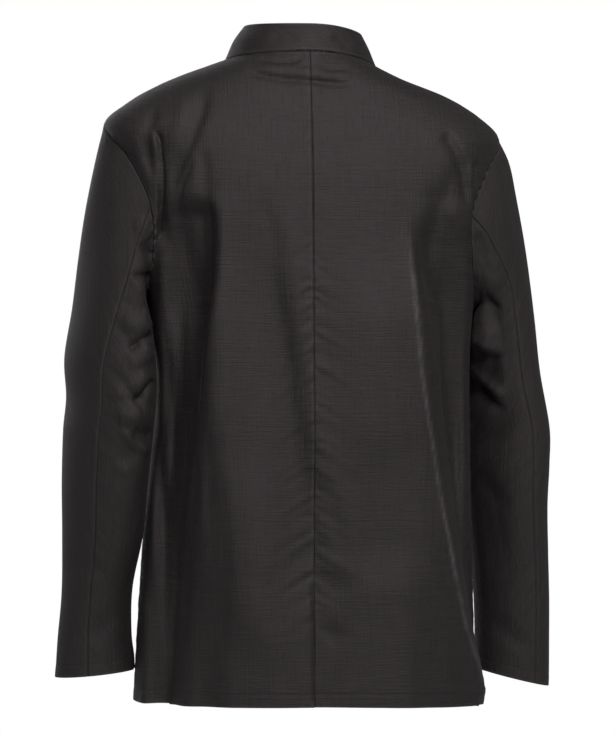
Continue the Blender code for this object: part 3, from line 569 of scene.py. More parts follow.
# ---- the creases on the back, as places in the view -----------------------------------------------
# A path that runs down has its left and right side where the view has them; one that runs to the
# right has its right side above it.
BACK_CREASES = {
    "body": [
        # the long fold on the right of the back, and the hollow beside it
        ("right_crest", 2.2, 16, 6, 1.6, 0.10, 0, 410, 215, 411, 243, 412.5, 272, 416, 300, 418.5, 330,
         421, 360, 424, 390, 428, 420, 432.5, 450, 436.5, 480, 441, 510, 447, 540, 452, 570, 457.5, 600,
         464, 630, 474, 660, 484, 690),
        ("right_wall", -6.0, 12, 20, 3, 0.08, 0, 419, 212, 423, 236, 427, 264, 432, 296, 438, 330,
         444, 370, 449, 410, 455, 450, 461, 500, 466, 550, 472, 600, 480, 640, 490, 690),
        ("right_plateau", 10.0, 70, 15, 5, 0.25, 0, 405, 215, 406, 243, 407.5, 272, 411, 300, 413.5, 330,
         416, 360, 419, 390, 423, 420, 427.5, 450, 431.5, 480, 436, 510, 442, 540, 447, 570, 452, 600,
         459, 640, 470, 690),
        ("right_blade", 5.0, 30, 22, 8, 0.40, 0.50, 452, 105, 460, 150, 462, 190, 458, 245),
        ("second_trough_right", -2.0, 7, 6, 3, 0.30, 0.35, 423, 180, 431, 196, 440, 214, 450, 230, 460, 246),
        ("blade_low_right", 3.0, 16, 14, 6, 0.40, 0.40, 446, 196, 455, 218, 462, 246),
        ("blade_crease_right", -5.4, 8, 3.0, 0.9, 0.10, 0.30, 444, 131, 450, 141, 456, 153, 461, 168,
         464, 190, 466, 213),
        ("armhole_edge_right", 1.4, 4.0, 2.2, 0.5, 0.20, 0.30, 468, 158, 468.5, 185, 468.5, 216),
        ("armhole_nick_right", -3.0, 1.6, 3.0, 0.5, 0.20, 0.30, 472, 159, 471.5, 174, 471, 192),
        # the deep fold on the left of the back
        ("left_pocket", -10, 24, 6, 1.6, 0.06, 0, 203, 188, 207, 206, 209, 224, 209, 250, 207, 285,
         203, 325, 197, 370, 190, 420, 184, 470, 178, 530, 172, 600, 165, 700),
        ("left_plateau", 3.0, 3.5, 20, 1.4, 0.06, 0.5, 210, 190, 217, 212, 218.5, 240, 217.5, 285,
         214, 320, 209, 370, 203, 420, 197, 470, 191, 530),
        ("left_side_ridge", 2.5, 6, 8, 3, 0.30, 0.50, 166, 200, 165, 240, 164, 280, 162, 330, 158, 380),
        ("armhole_lip_left", 2.6, 5.5, 1.6, 0.5, 0.15, 0.30, 151, 129, 154.5, 140, 156.8, 160, 157.3, 185,
         156, 206),
        ("armhole_tuck_left", -6.0, 1.7, 4.5, 0.6, 0.08, 0.10, 154, 128, 158.8, 141, 160.3, 165,
         160.5, 190, 159.5, 212, 158.5, 240),
        ("shoulder_band_left", -3.6, 6, 5, 3, 0.30, 0.30, 158, 98, 151, 122, 146, 144, 147, 163, 152, 177),
        ("shoulder_ridge_left", 1.6, 4, 4, 2, 0.30, 0.30, 132, 128, 139, 155, 147, 176, 154, 192),
        ("armhole_band_left", -1.8, 4, 4, 2, 0.30, 0.30, 118, 142, 127, 160, 136, 179),
        ("drape_band_left", -4.6, 9, 5, 3, 0.25, 0.35, 206, 80, 204, 100, 199, 117, 190, 142, 180, 165,
         173, 187, 169, 205),
        ("drape_light_left", 2.0, 8, 6, 3, 0.30, 0.40, 187, 86, 181, 118, 173, 145, 169, 172),
        ("short_crease_left", -2.4, 2.2, 3.6, 0.6, 0.20, 0.35, 195, 156, 187, 172, 181, 188, 177, 205,
         174, 223),
        ("pocket_lead_left", -2.6, 6, 6, 3, 0.40, 0.15, 201, 138, 204, 170, 206, 200),
        # the slack between the folds
        ("centre_hollow", -8.5, 42, 20, 5, 0.30, 0.20, 252, 180, 262, 235, 269, 290, 275, 340, 282, 390,
         289, 440, 297, 490, 305, 540, 310, 590, 312, 640),
        ("centre_ridge", 2.7, 11, 11, 5, 0.25, 0.35, 272, 190, 286, 250, 293, 300, 299, 350, 309, 400,
         321, 450, 338, 500, 352, 550, 366, 605),
        ("centre_nick", -1.6, 5, 5, 3, 0.30, 0.30, 283, 300, 288, 330, 292, 362, 298, 395),
        ("centre_drop", -1.4, 6, 6, 3, 0.30, 0.40, 258, 190, 274, 235, 284, 275),
        ("left_swell", 5.5, 20, 32, 8, 0.30, 0.20, 229, 240, 231, 330, 234, 420, 240, 510, 250, 600,
         252, 680),
        ("left_low_swell", 4.5, 14, 34, 6, 0.35, 0.25, 232, 440, 238, 500, 243, 560, 246, 620, 247, 670),
        ("low_drape_right", -2.6, 7, 9, 3, 0.20, 0.40, 322, 470, 331, 505, 341, 540, 350, 575),
        ("low_right_shade", 9.0, 46, 26, 8, 0.35, 0, 384, 540, 388, 590, 390, 640, 390, 700),
        ("mid_right_shade", 5.5, 48, 24, 8, 0.35, 0.30, 376, 250, 380, 320, 383, 400, 386, 490),
        ("low_seam_dip", -4.0, 3, 26, 1.5, 0.30, 0, 314, 560, 315, 610, 315, 655, 315, 700),
        ("low_left_shade", -2.0, 12, 12, 5, 0.35, 0.35, 262, 560, 272, 600, 280, 645),
        ("low_swell", -3.2, 12, 12, 5, 0.40, 0.40, 318, 588, 334, 584, 352, 596),
        ("low_swell_next", -2.8, 10, 8, 4, 0.40, 0.40, 318, 640, 330, 634, 344, 645),
        # the collar and the slack below it
        ("collar_slack", -3.2, 5, 2.5, 1.0, 0.15, 0.20, 244, 67, 256, 72.5, 268, 76, 285, 78.5, 303, 79.5,
         320, 81.5, 340, 83.3, 360, 83.5),
        ("collar_roll", 1.8, 4, 5, 2.0, 0.20, 0.20, 250, 64, 268, 69, 285, 71, 303, 72, 322, 74, 342, 76,
         356, 76),
        ("collar_nick", -2.2, 2.4, 2.0, 0.8, 0.25, 0.25, 252, 57.5, 265, 60.5, 280, 62, 295, 61, 305, 57.5),
        ("collar_short", -1.6, 3, 2.5, 1.2, 0.30, 0.30, 322, 70, 338, 70, 353, 67),
    ],
    "collar": [
        ("stand_dip_left", -1.8, 4, 4, 2, 0.30, 0.40, 268, 38, 285, 36, 303, 42),
        ("stand_dip_right", -1.8, 4, 4, 2, 0.30, 0.40, 330, 35, 341, 41, 353, 49),
    ],
    "sleeve_left": [
        # the slack of the left sleeve
        ("left_puff_a", 3.4, 6, 6, 4, 0.30, 0.20, 137, 217, 144, 228, 152, 238),
        ("left_cut_a", -3.4, 3, 3, 0.8, 0.30, 0.10, 134, 245, 143, 249, 153, 256),
        ("left_puff_b", 2.8, 6, 6, 4, 0.30, 0.10, 124, 265, 138, 267, 153, 265),
        ("left_cut_b", -3.2, 3, 2.5, 0.8, 0.30, 0.10, 131, 277, 142, 275, 154, 273),
        ("left_puff_c", 2.6, 7, 7, 4, 0.30, 0.10, 130, 290, 142, 287, 153, 294),
        ("left_dip_c", -2.2, 6, 6, 3, 0.30, 0.20, 119, 299, 132, 306, 147, 313),
        ("left_puff_d", 2.8, 7, 6, 4, 0.30, 0.10, 120, 322, 134, 322, 152, 327),
        ("left_notch", -4.8, 2.6, 4.5, 0.7, 0.30, 0.05, 125, 351, 135, 345.5, 144, 339, 153, 335),
        ("left_puff_e", 3.2, 6, 7, 4, 0.30, 0.10, 126, 363, 139, 358, 153, 351),
        ("left_puff_f", 2.8, 6, 6, 4, 0.30, 0.10, 106, 389, 120, 391, 136, 387, 149, 373),
        ("left_elbow_crease", -5.0, 4, 3, 0.8, 0.25, 0.05, 131, 404, 140, 396, 147, 387, 153, 379),
        ("left_puff_g", 2.6, 6, 6, 4, 0.30, 0.20, 116, 418, 128, 416, 142, 411),
        ("left_hole", -3.4, 6, 5, 2, 0.30, 0.10, 132, 431, 141, 433, 151, 436),
        ("left_curl", 3.2, 4, 4, 1.5, 0.30, 0.15, 120, 424, 128, 438, 138, 447, 151, 451),
        ("left_low_puff", 1.8, 5, 5, 3, 0.30, 0.30, 111, 461, 123, 469, 133, 475),
        ("left_wrist_dip", -1.6, 10, 10, 5, 0.40, 0.40, 62, 560, 80, 566, 104, 560),
    ],
    "sleeve_right": [
        # and of the right one
        ("right_puff_a", 3.0, 9, 8, 5, 0.30, 0.30, 470, 276, 485, 281, 503, 290),
        ("right_pocket", -6.0, 9, 2.6, 1.0, 0.25, 0.40, 484, 294, 489, 299, 494, 304, 503, 313),
        ("right_dip_b", -2.0, 9, 9, 4, 0.25, 0.40, 484, 317, 491, 321, 502, 328),
        ("right_ridge_b", 3.4, 4, 5, 1.5, 0.10, 0.35, 469, 331, 483, 340, 495, 348, 510, 355),
        ("right_dip_c", -4.0, 8, 4, 2, 0.30, 0.40, 481, 349, 490, 355, 500, 362),
        ("right_ridge_c", 4.6, 4, 5, 0.8, 0.08, 0.30, 470, 362, 480, 373.5, 488, 383, 500, 395, 507, 402),
        ("right_dip_d", -5.0, 11, 3, 1.5, 0.25, 0.40, 475, 381, 482, 389, 490, 399, 507, 414),
        ("right_upper_dip", -2.6, 6, 6, 3, 0.30, 0.30, 474, 232, 482, 249, 491, 263),
        ("right_low_dip", -2.4, 12, 12, 5, 0.35, 0.40, 478, 470, 492, 520, 505, 590),
    ],
}

# A highlight painted pale along the crest of the long fold on the back; height is how much.
PAINTED_CREST_HIGHLIGHT = {
    "body": [
        ("right_crest_rub", 1.3, 1.5, 1.9, 0.5, 0.12, 0, 408, 222, 409, 243, 411, 272, 414, 300, 417, 330,
         419, 360, 422, 390, 425.5, 420, 430, 450, 434, 480, 438.5, 510, 444.5, 540, 449.5, 570,
         455.5, 600, 462, 630, 472, 660, 482, 690),
    ],
}

# ---- the creases on the front, as places in millimetres across and down it --------------------------
FRONT_CREASES = {
    "body": [
        ("chest_fold_left", -4.5, 12, 7, 3, 0.25, 0.35, 178, 120, 160, 165, 146, 215, 138, 270, 136, 330),
        ("chest_light_left", 2.5, 8, 10, 4, 0.30, 0.40, 160, 118, 142, 165, 126, 220, 118, 280),
        ("armhole_fold_left", -3.5, 5, 6, 2, 0.30, 0.30, 186, 190, 176, 225, 170, 265, 168, 310),
        ("chest_fold_right", -4.0, 8, 12, 3, 0.25, 0.35, -176, 126, -161, 175, -150, 222, -143, 280),
        ("chest_light_right", 2.2, 9, 8, 4, 0.30, 0.40, -158, 120, -140, 170, -128, 225, -122, 275),
        ("armhole_fold_right", -3.2, 6, 5, 2, 0.30, 0.30, -188, 200, -179, 235, -172, 280),
        ("shoulder_drag_left", -1.6, 6, 6, 3, 0.30, 0.40, 92, 48, 120, 72, 146, 104),
        ("shoulder_drag_right", -1.8, 6, 6, 3, 0.30, 0.40, -88, 52, -112, 80, -136, 118),
        ("skirt_drape_left", -5.0, 16, 12, 4, 0.30, 0, 96, 400, 100, 480, 108, 580, 116, 760),
        ("skirt_light_left", 3.5, 14, 14, 5, 0.30, 0, 128, 420, 134, 520, 142, 620, 150, 760),
        ("skirt_drape_right", -4.5, 12, 16, 4, 0.30, 0, -118, 380, -122, 480, -130, 580, -138, 760),
        ("skirt_light_right", 3.0, 14, 14, 5, 0.30, 0, -92, 430, -96, 540, -102, 640, -104, 760),
        ("waist_slack_left", -2.6, 9, 6, 3, 0.30, 0.40, 172, 430, 140, 452, 104, 462),
        ("waist_slack_right", -2.4, 9, 6, 3, 0.30, 0.40, -170, 446, -140, 470, -110, 476),
        ("waist_slack_low", -2.0, 8, 8, 3, 0.30, 0.40, 160, 500, 128, 512, 96, 508),
        ("button_slack_a", -1.6, 9, 9, 4, 0.30, 0.30, -50, 170, 0, 182, 50, 172),
        ("button_slack_b", -2.0, 9, 9, 4, 0.30, 0.30, -50, 258, -5, 271, 50, 256),
        ("button_slack_c", -1.8, 9, 9, 4, 0.30, 0.30, -48, 344, 5, 356, 50, 343),
        ("button_slack_d", -1.6, 9, 9, 4, 0.30, 0.30, -50, 430, 0, 440, 48, 428),
    ],
    "sleeve_left": [
        ("left_bend_a", -4.0, 6, 4, 1.2, 0.25, 0.25, 184, 350, 206, 370, 236, 378, 262, 366),
        ("left_bend_b", 3.0, 7, 7, 4, 0.30, 0.30, 186, 376, 210, 394, 246, 398),
        ("left_bend_c", -4.6, 5, 5, 1.2, 0.20, 0.30, 184, 400, 206, 414, 240, 414, 266, 402),
        ("left_bend_d", 2.6, 7, 7, 4, 0.30, 0.30, 188, 430, 214, 438, 250, 434),
        ("left_bend_e", -3.0, 6, 6, 2, 0.30, 0.30, 188, 455, 212, 464, 244, 456),
        ("left_front_long", -3.0, 9, 9, 4, 0.30, 0.40, 216, 150, 208, 200, 206, 250, 212, 300),
        ("left_front_low", -2.2, 12, 12, 5, 0.40, 0.40, 206, 560, 226, 600, 240, 650),
    ],
    "sleeve_right": [
        ("right_bend_a", -3.6, 4, 6, 1.2, 0.25, 0.25, -202, 372, -228, 394, -256, 400, -276, 392),
        ("right_bend_b", 2.8, 7, 7, 4, 0.30, 0.30, -204, 400, -232, 418, -266, 420),
        ("right_bend_c", -4.4, 5, 5, 1.2, 0.20, 0.30, -202, 424, -226, 440, -256, 442, -278, 432),
        ("right_bend_d", 2.4, 7, 7, 4, 0.30, 0.30, -206, 452, -234, 462, -264, 458),
        ("right_bend_e", -2.8, 6, 6, 2, 0.30, 0.30, -208, 480, -232, 490, -262, 482),
        ("right_front_long", -3.0, 9, 9, 4, 0.30, 0.40, -222, 160, -218, 215, -220, 270, -228, 320),
        ("right_front_low", -2.2, 12, 12, 5, 0.40, 0.40, -222, 580, -246, 622, -258, 668),
    ],
}

# How much nearer (+) or farther (-) the cloth beside the arms hangs, in millimetres towards the
# view: a row for each 50 places down it from HANG_TOP, and a column for each 10 across.
HANG_TOP = 200
LEFT_HANG_FROM = 140
LEFT_HANG = [
    # 140 150  160  170  180  190  200  210  220  230 240
    (0, 0, 0, -4, -8, -10, -9, -3, 0, 0, 0),
    (0, 0, -10, -14, -14, -16, -16, -7, 0, 0, 0),
    (0, 0, -8, -20, -20, -14, -8, 0, 0, 0, 0),
    (0, 0, 6, -12, -14, -2, 9, 6, 1, 0, 0),
    (0, 0, 2, -18, -13, 3, 15, 9, 2, 0, 0),
    (0, 0, -14, -24, -9, 7, 11, 1, 0, 0, 0),
    (0, 0, -24, -19, -3, 7, 5, -3, -1, 0, 0),
    (0, -6, -24, -16, -5, -1, -4, -4, -1, 0, 0),
    (0, -16, -22, -15, -11, -13, -14, -10, -4, 0, 0),
    (0, -12, -13, -10, -10, -13, -14, -10, -4, 0, 0),
    (0, -12, -13, -10, -10, -13, -14, -10, -4, 0, 0),
]
RIGHT_HANG_FROM = 360
RIGHT_HANG = [
    # 360 370 380 390 400 410 420 430 440 450 460 470 480
    (0, 0, 0, 0, 0, 0, 0, 1, 1, 2, 2, 2, 0),
    (0, 0, 0, 0, 0, 0, -3, -8, -5, -3, -1, 1, 0),
    (0, 0, 0, 0, 1, 2, 0, -7, -11, -11, -8, 2, 0),
    (0, 0, 0, 0, 1, 3, 3, -2, -9, -14, -12, 2, 0),
    (0, 0, 0, 1, 2, 4, 5, 0, -7, -13, -13, 2, 0),
    (0, 0, 0, 1, 3, 5, 6, 3, -4, -10, -9, 6, 0),
    (0, 0, 0, 2, 4, 6, 8, 8, 6, -3, 2, 12, 0),
    (0, 0, 0, 2, 4, 6, 8, 9, 8, 5, 5, 12, 0),
    (0, 0, 0, 2, 4, 6, 8, 9, 9, 9, 7, 4, 0),
    (0, 0, 0, 2, 4, 6, 7, 8, 9, 9, 9, 6, 0),
    (0, 0, 0, 2, 4, 6, 7, 8, 9, 9, 9, 6, 0),
]


def rounded_weights(f):
    """Shares of the four values about a place that is f of the way between the middle two."""
    return (0.5 * (-f + 2 * f * f - f ** 3), 0.5 * (2 - 5 * f * f + 3 * f ** 3),
            0.5 * (f + 4 * f * f - 3 * f ** 3), 0.5 * (f ** 3 - f * f))


def hang(table, start, at):
    """A table of lifts, smoothly filled in, at places of the view."""
    table = np.array(table, float)
    down = np.clip((at[..., 1] - HANG_TOP) / 50, 0, len(table) - 1.001)
    across = np.clip((at[..., 0] - start) / 10, 0, table.shape[1] - 1.001)
    row, column = down.astype(int), across.astype(int)
    total = np.zeros(down.shape)
    for i, share_down in enumerate(rounded_weights(down - row)):
        for k, share_across in enumerate(rounded_weights(across - column)):
            picked = table[np.clip(row + i - 1, 0, len(table) - 1),
                           np.clip(column + k - 1, 0, table.shape[1] - 1)]
            total += share_down * share_across * picked
    return total * smooth((at[..., 1] - HANG_TOP + 9) / 28)


def facing_view(piece):
    """1 where a piece faces the view, and 0 where it faces away or meets an armhole."""
    return smooth((piece.normals @ TOWARDS - 0.02) / 0.25) * piece.guard


def let_hang(pieces):
    """Draw the back in beside the arms, towards or away from the view."""
    for piece in pieces:
        if piece.kind == "body":
            at = seen(piece.base)
            depth = hang(LEFT_HANG, LEFT_HANG_FROM, at) + hang(RIGHT_HANG, RIGHT_HANG_FROM, at)
            piece.grid = piece.grid + (depth * facing_view(piece))[..., None] * TOWARDS


def apply_creases(pieces):
    """Press the creases of the back and front into the pieces facing each way; paint a pale highlight on the
    long fold's crest.
    """
    for piece in pieces:
        to_back = facing_view(piece)
        to_front = smooth((-piece.normals[..., 1] - 0.05) / 0.30) * piece.guard
        view, front = seen(piece.base), piece.base[..., [0, 2]] * (1, -1)
        lift = np.zeros(piece.grid.shape[:2])
        for crease in BACK_CREASES.get(piece.kind, ()):
            lift += crease_lift(crease, view, SCALE) * to_back
        for crease in FRONT_CREASES.get(piece.kind, ()):
            lift += crease_lift(crease, front, 1.0) * to_front
        # a pale highlight painted along the crest of the long fold, kept together with the edge wear
        for pale_wear_and_highlight in PAINTED_CREST_HIGHLIGHT.get(piece.kind, ()):
            piece.wear = np.maximum(piece.wear, crease_lift(pale_wear_and_highlight, view, SCALE) * to_back)
        piece.push(lift)


ARM_GUARD = 7.0


def arm_guard(piece, rings):
    """0 at the armholes, where body and sleeve meet, and 1 from ARM_GUARD off them."""
    guard = np.ones(piece.grid.shape[:2])
    if piece.kind != "collar":
        ring = rings[1 if piece.base[..., 0].mean() > 0 else -1]
        for place in ring[::4]:
            guard = np.minimum(guard, np.linalg.norm(piece.base - place, axis=2) / ARM_GUARD)
    return smooth(guard)


def evened(shift):
    """A grid of shifts, each drawn towards its four neighbours."""
    padded = np.pad(shift, [(1, 1), (1, 1)] + [(0, 0)] * (shift.ndim - 2), mode="edge")
    beside = padded[:-2, 1:-1] + padded[2:, 1:-1] + padded[1:-1, :-2] + padded[1:-1, 2:]
    return (beside + 2 * shift) / 6


# ---- puckers ---------------------------------------------------------------------------------
def pucker(piece, far, along, high, reach, seed, seam=None):
    """Gathers that a seam draws into the cloth: each side's own, and those of the seam itself."""
    own = waves(along + 0.6 * far, seed, 5, 38, 11) * (far / reach) * np.exp(-far / (0.6 * reach)) * 4.5
    if seam is not None:
        own += 0.7 * waves(along, seam, 5, 34, 9) * np.exp(-(far / (0.5 * reach)) ** 2)
    piece.push(high * own)


SWELL, SWELL_Z, SWELL_REACH = 14.0, -318.0, 32.0       # the slack under the right arm
WALL_STEP = {"back_left": 0.8, "back_right": 1.5}      # least step sideways from column to column
WALL_FROM, WALL_GROWS = 100, 30                        # how far in from the side seam it holds
WALL_TURNS, WALL_SOFT_TURNS = 8, 3


def fill_underarm(piece):
    """Let the slack under the right arm swell towards the body; keep_clear then holds it off."""
    if piece.kind == "sleeve_right":
        inward = smooth((-(piece.plain_normals @ RIGHT) - 0.3) / 0.4)
        swell = SWELL * np.exp(-((piece.base[..., 2] - SWELL_Z) / SWELL_REACH) ** 2) * inward * piece.guard
        piece.grid = piece.grid + piece.plain_normals * swell[..., None]


def open_walls(piece):
    """Lean back the sides of the deep folds, so that no fold closes on itself."""
    way = 1 if piece.name == "back_right" else -1
    place = piece.grid @ RIGHT * way
    even = np.arange(place.shape[1]) * WALL_STEP[piece.name]
    ahead = np.maximum.accumulate(place - even, axis=1) + even
    shift = (ahead - place) * smooth((piece.from_right - WALL_FROM) / WALL_GROWS)
    for _ in range(WALL_TURNS):
        shift = evened(shift)
    for _ in range(WALL_SOFT_TURNS):
        shift[:, 1:-1] = (shift[:, :-2] + 2 * shift[:, 1:-1] + shift[:, 2:]) / 4
        shift[1:-1] = (shift[:-2] + 2 * shift[1:-1] + shift[2:]) / 4
    piece.grid = piece.grid + (shift * way)[..., None] * RIGHT


def pucker_seams(pieces):
    """Gathers beside every seam, strongest down the centre of the back."""
    for number, (name, piece) in enumerate(pieces.items()):
        seed = 100 + 10 * number
        if name.startswith("back"):
            along = piece.from_bottom
            strong = smooth((along - 60) / 90) * (1 - 0.75 * smooth((along - 430) / 120))
            pucker(piece, piece.from_left, along, 0.85 * strong, 16.0, seed, seam=7)
        if piece.kind == "body":
            side = piece.from_right if name.startswith("back") else piece.from_left
            pucker(piece, side, piece.from_bottom, 0.35 * smooth(piece.from_bottom / 40), 12.0, seed + 1)
            top = 0.30 * smooth((piece.from_left - 30) / 30) * smooth((piece.from_right - 30) / 30)
            pucker(piece, piece.from_top, piece.from_left, top, 10.0, seed + 2)
        elif piece.kind.startswith("sleeve"):
            level = smooth(piece.from_top / 40) * smooth(piece.from_bottom / 30)
            pucker(piece, piece.from_left, piece.from_bottom, 0.32 * level, 11.0, seed + 1)
            pucker(piece, piece.from_right, piece.from_bottom, 0.32 * level, 11.0, seed + 2)
            pucker(piece, piece.from_bottom, piece.from_left, 0.22 * piece.guard, 13.0, seed + 3)


# ---- keeping the sleeves off the body ----------------------------------------------------------
CLEAR = 1.2            # the gap left between a sleeve and the body, in millimetres
CLEAR_FROM = -268.0    # the height of the underarm, where the two part
CLEAR_SEARCH = 40.0    # how far from the body a point is looked at
CLEAR_TURNS, CLEAR_SOFT_TURNS = 4, 2


def grid_quads(index):
    """Faces of a grid of point numbers."""
    return np.stack([index[:-1, :-1], index[:-1, 1:], index[1:, 1:], index[1:, :-1]], -1).reshape(-1, 4)


def keep_clear(pieces):
    """Ease the sleeves off the body wherever the two would touch below the underarm."""
    points, faces = [], []
    for piece in pieces:
        if piece.kind == "body":
            rows, columns = piece.grid.shape[:2]
            index = len(points) + np.arange(rows * columns).reshape(rows, columns)
            quads = grid_quads(index)
            faces += (quads if piece.outward > 0 else quads[:, ::-1]).tolist()
            points += piece.face().reshape(-1, 3).tolist()
    body = BVHTree.FromPolygons(points, faces)
    for piece in pieces:
        if not piece.kind.startswith("sleeve"):
            continue
        for turn in range(CLEAR_TURNS):
            face = piece.face()
            weight = smooth((piece.from_bottom - 1) / 6) * smooth((CLEAR_FROM - face[..., 2]) / 12)
            shift = np.zeros_like(face)
            for r, c in np.argwhere(weight > 0):
                place, normal, _, _ = body.find_nearest(face[r, c], CLEAR_SEARCH)
                if place is not None:
                    short = CLEAR - (face[r, c] - np.array(place)) @ np.array(normal)
                    shift[r, c] = np.array(normal) * max(short, 0.0)
            if turn < CLEAR_SOFT_TURNS:
                shift = evened(shift)
            piece.grid = piece.grid + shift * weight[..., None]
            piece.find_normals()


# ---- seams and edges -------------------------------------------------------------------------
SEAM_DEEP, SEAM_WIDE = 0.85, 0.95      # the groove that a sewn seam leaves, in millimetres
LIP_HIGH, LIP_AT, LIP_WIDE = 0.45, 2.6, 1.3   # the rolled edge beside it
PRESSED, PRESSED_WIDE = 0.35, 9.0      # the allowances folded in behind the cloth
EDGE_ROUND = 0.8                       # a free edge is rounded over this far
STITCH_DEEP, STITCH_WIDE = 0.30, 0.85  # the channel that a row of stitches pulls down
HEM_ROPE = 0.22                        # how far the turned-up hem twists in and out


def sewn(piece, far, lip=1.0, deep=1.0):
    """Draw the cloth down beside a seam that lies far away from each point."""
    piece.outer += -SEAM_DEEP * deep * np.exp(-(far / SEAM_WIDE) ** 2)
    piece.outer += LIP_HIGH * lip * np.exp(-((far - LIP_AT) / LIP_WIDE) ** 2)
    piece.outer += PRESSED * lip * smooth(1.5 - far / PRESSED_WIDE) * smooth(far / 1.5)
    piece.wear = np.maximum(piece.wear, 0.4 * np.exp(-((far - LIP_AT) / 1.6) ** 2) * lip)


def free(piece, far):
    """Round both faces of the cloth over to a free edge."""
    part = np.clip(1 - far / EDGE_ROUND, 0, 1)
    round_in = piece.thick / 2 * (1 - np.sqrt(np.maximum(1 - part ** 2, 0.04)))
    piece.outer -= round_in
    piece.inner += round_in
    piece.wear = np.maximum(piece.wear, 0.5 * np.exp(-(far / 2.2) ** 2))


def stitched(piece, far, at):
    """Press in the channel of a row of stitches."""
    piece.outer -= STITCH_DEEP * np.exp(-((far - at) / STITCH_WIDE) ** 2)


def hemmed(piece, far, deep):
    """Add the turned-in hem on the inside."""
    piece.inner -= HEM_FOLD * smooth((deep + 0.6 - far) / 1.2)
    stitched(piece, far, deep - 1.5)
    rope = waves(piece.from_left + 0.7 * far, 300 + round(deep), 5, 30, 9)
    rope = rope * smooth(far / 2) * smooth((deep - 1 - far) / 4)
    piece.outer += HEM_ROPE * rope
    piece.inner += HEM_ROPE * rope


NECK_LIFT = 2.3                        # how far the over front's lap stands off below the collar


def lay_lap(piece, over):
    """Step a front out over, or in under, the other front where they cross."""
    past = smooth((LAP_EASE - piece.grid[..., 0]) / (2 * LAP_EASE))
    step = np.where(piece.grid[..., 1] < 0, LAP_STEP * past if over else LAP_STEP * (past - 1), 0)
    if over:   # its top edge hangs a little low, on the slope below the collar
        step += NECK_LIFT * smooth((14 - piece.from_top) / 8) * smooth((4 - piece.grid[..., 0]) / 8)
    piece.outer += step
    piece.inner += step


# ---- meshes ----------------------------------------------------------------------------------
def add_object(name, points, faces, look):
    """Smooth-shaded object from points in millimetres and faces with four corners each."""
    mesh = bpy.data.meshes.new(name)
    points = np.asarray(points, float) * MM
    faces = np.asarray(faces, np.int32)
    mesh.vertices.add(len(points))
    mesh.vertices.foreach_set("co", points.astype(np.float32).ravel())
    mesh.loops.add(faces.size)
    mesh.loops.foreach_set("vertex_index", faces.ravel())
    mesh.polygons.add(len(faces))
    mesh.polygons.foreach_set("loop_start", np.arange(0, faces.size, faces.shape[1], dtype=np.int32))
    mesh.polygons.foreach_set("use_smooth", np.ones(len(faces), bool))
    mesh.update()
    mesh.materials.append(look)
    made = bpy.data.objects.new(name, mesh)
    bpy.context.scene.collection.objects.link(made)
    return made


def border_of(rows, columns):
    """Grid indices round the edge of a grid."""
    border = list(range(columns))
    border += [r * columns + columns - 1 for r in range(1, rows)]
    border += [(rows - 1) * columns + c for c in range(columns - 2, -1, -1)]
    border += [r * columns for r in range(rows - 2, 0, -1)]
    return np.array(border)


BAKE_SKIN = 0.485            # width of each skin's part of the bake map
BAKE_GAP = 0.005
INNER_WEAR_AND_HIGHLIGHT = 0.4             # how much of the outer face's wear and painted highlight the inner one has


def grain_places(piece):
    """Where each point lies in the weave: across from a straight edge, and along it in level rows."""
    if piece.kind != "body":
        return piece.from_left, piece.from_bottom
    level = np.linalg.norm(np.diff(piece.base[..., :2], axis=1), axis=2)
    across = np.concatenate([np.zeros((len(level), 1)), np.cumsum(level, 1)], 1)
    straight = [0 if piece.name.startswith("back") else -1]
    height = piece.base[..., 2]
    return across - across[:, straight], piece.from_bottom[:, straight] + height - height[:, straight]


def wall_object(piece, look):
    """Closed wall of quads: an outer and an inner skin, joined along the edges, with its maps."""
    rows, columns = piece.grid.shape[:2]
    outer = piece.grid + piece.normals * piece.outer[..., None]
    inner = piece.grid + piece.normals * piece.inner[..., None]
    points = np.concatenate([outer.reshape(-1, 3), inner.reshape(-1, 3)])
    inside = rows * columns
    index = np.arange(inside).reshape(rows, columns)
    skin = grid_quads(index)
    border = border_of(rows, columns)
    after = np.roll(border, -1)
    rim = np.stack([after, border, border + inside, after + inside], -1)
    faces = np.concatenate([skin, skin[:, ::-1] + inside, rim])
    if piece.outward < 0:
        faces = faces[:, ::-1]
    made = add_object(piece.name + "_cloth", points, faces, look)
    grain = np.stack(grain_places(piece), -1).reshape(-1, 2) * MM
    grain = np.concatenate([grain, grain])
    low, size = grain.min(0), np.ptp(grain, 0)
    share = (grain - low) / size
    share[:inside, 0] *= BAKE_SKIN
    share[inside:, 0] = BAKE_SKIN + BAKE_GAP + share[inside:, 0] * BAKE_SKIN
    corners = faces.ravel()
    bake = share[corners]
    thin = np.repeat(np.arange(len(faces)) >= 2 * len(skin), 4)
    run = np.zeros(2 * inside)
    run[border] = run[border + inside] = np.arange(len(border)) / len(border)
    strip = np.where(corners < inside, 0.98, 1.0)
    bake[thin, 0] = strip[thin]
    bake[thin, 1] = run[corners][thin]
    last = np.repeat((rim == border[0]).any(1) & (rim == border[-1]).any(1), 4)
    end = np.zeros(len(thin), bool)
    end[thin] = last
    bake[end & (run[corners] == 0), 1] = 1.0
    for layer, values in (("OFBake", bake), ("grain", grain[corners])):
        uv = made.data.uv_layers.new(name=layer, do_init=False).uv
        uv.foreach_set("vector", values.astype(np.float32).ravel())
    wear = made.data.attributes.new("wear", "FLOAT", "POINT")
    worn_and_highlit = np.concatenate([piece.wear.ravel(), piece.wear.ravel() * INNER_WEAR_AND_HIGHLIGHT])
    wear.data.foreach_set("value", worn_and_highlit.astype(np.float32))
    return made


# ---- threads ---------------------------------------------------------------------------------
STITCH, STITCH_GAP, THREAD_RADIUS = 2.6, 0.9, 0.27
FRONT_STITCH, COLLAR_STITCH, NECK_STITCH, CUFF_HEM = 6.0, 5.0, 4.2, 16.0
THREAD_SIDES = 4
THREAD_RINGS = [(0.0, 0.5, -1.6), (0.16, 1.0, 0.35), (0.84, 1.0, 0.35), (1.0, 0.5, -1.6)]   # share, size, lift


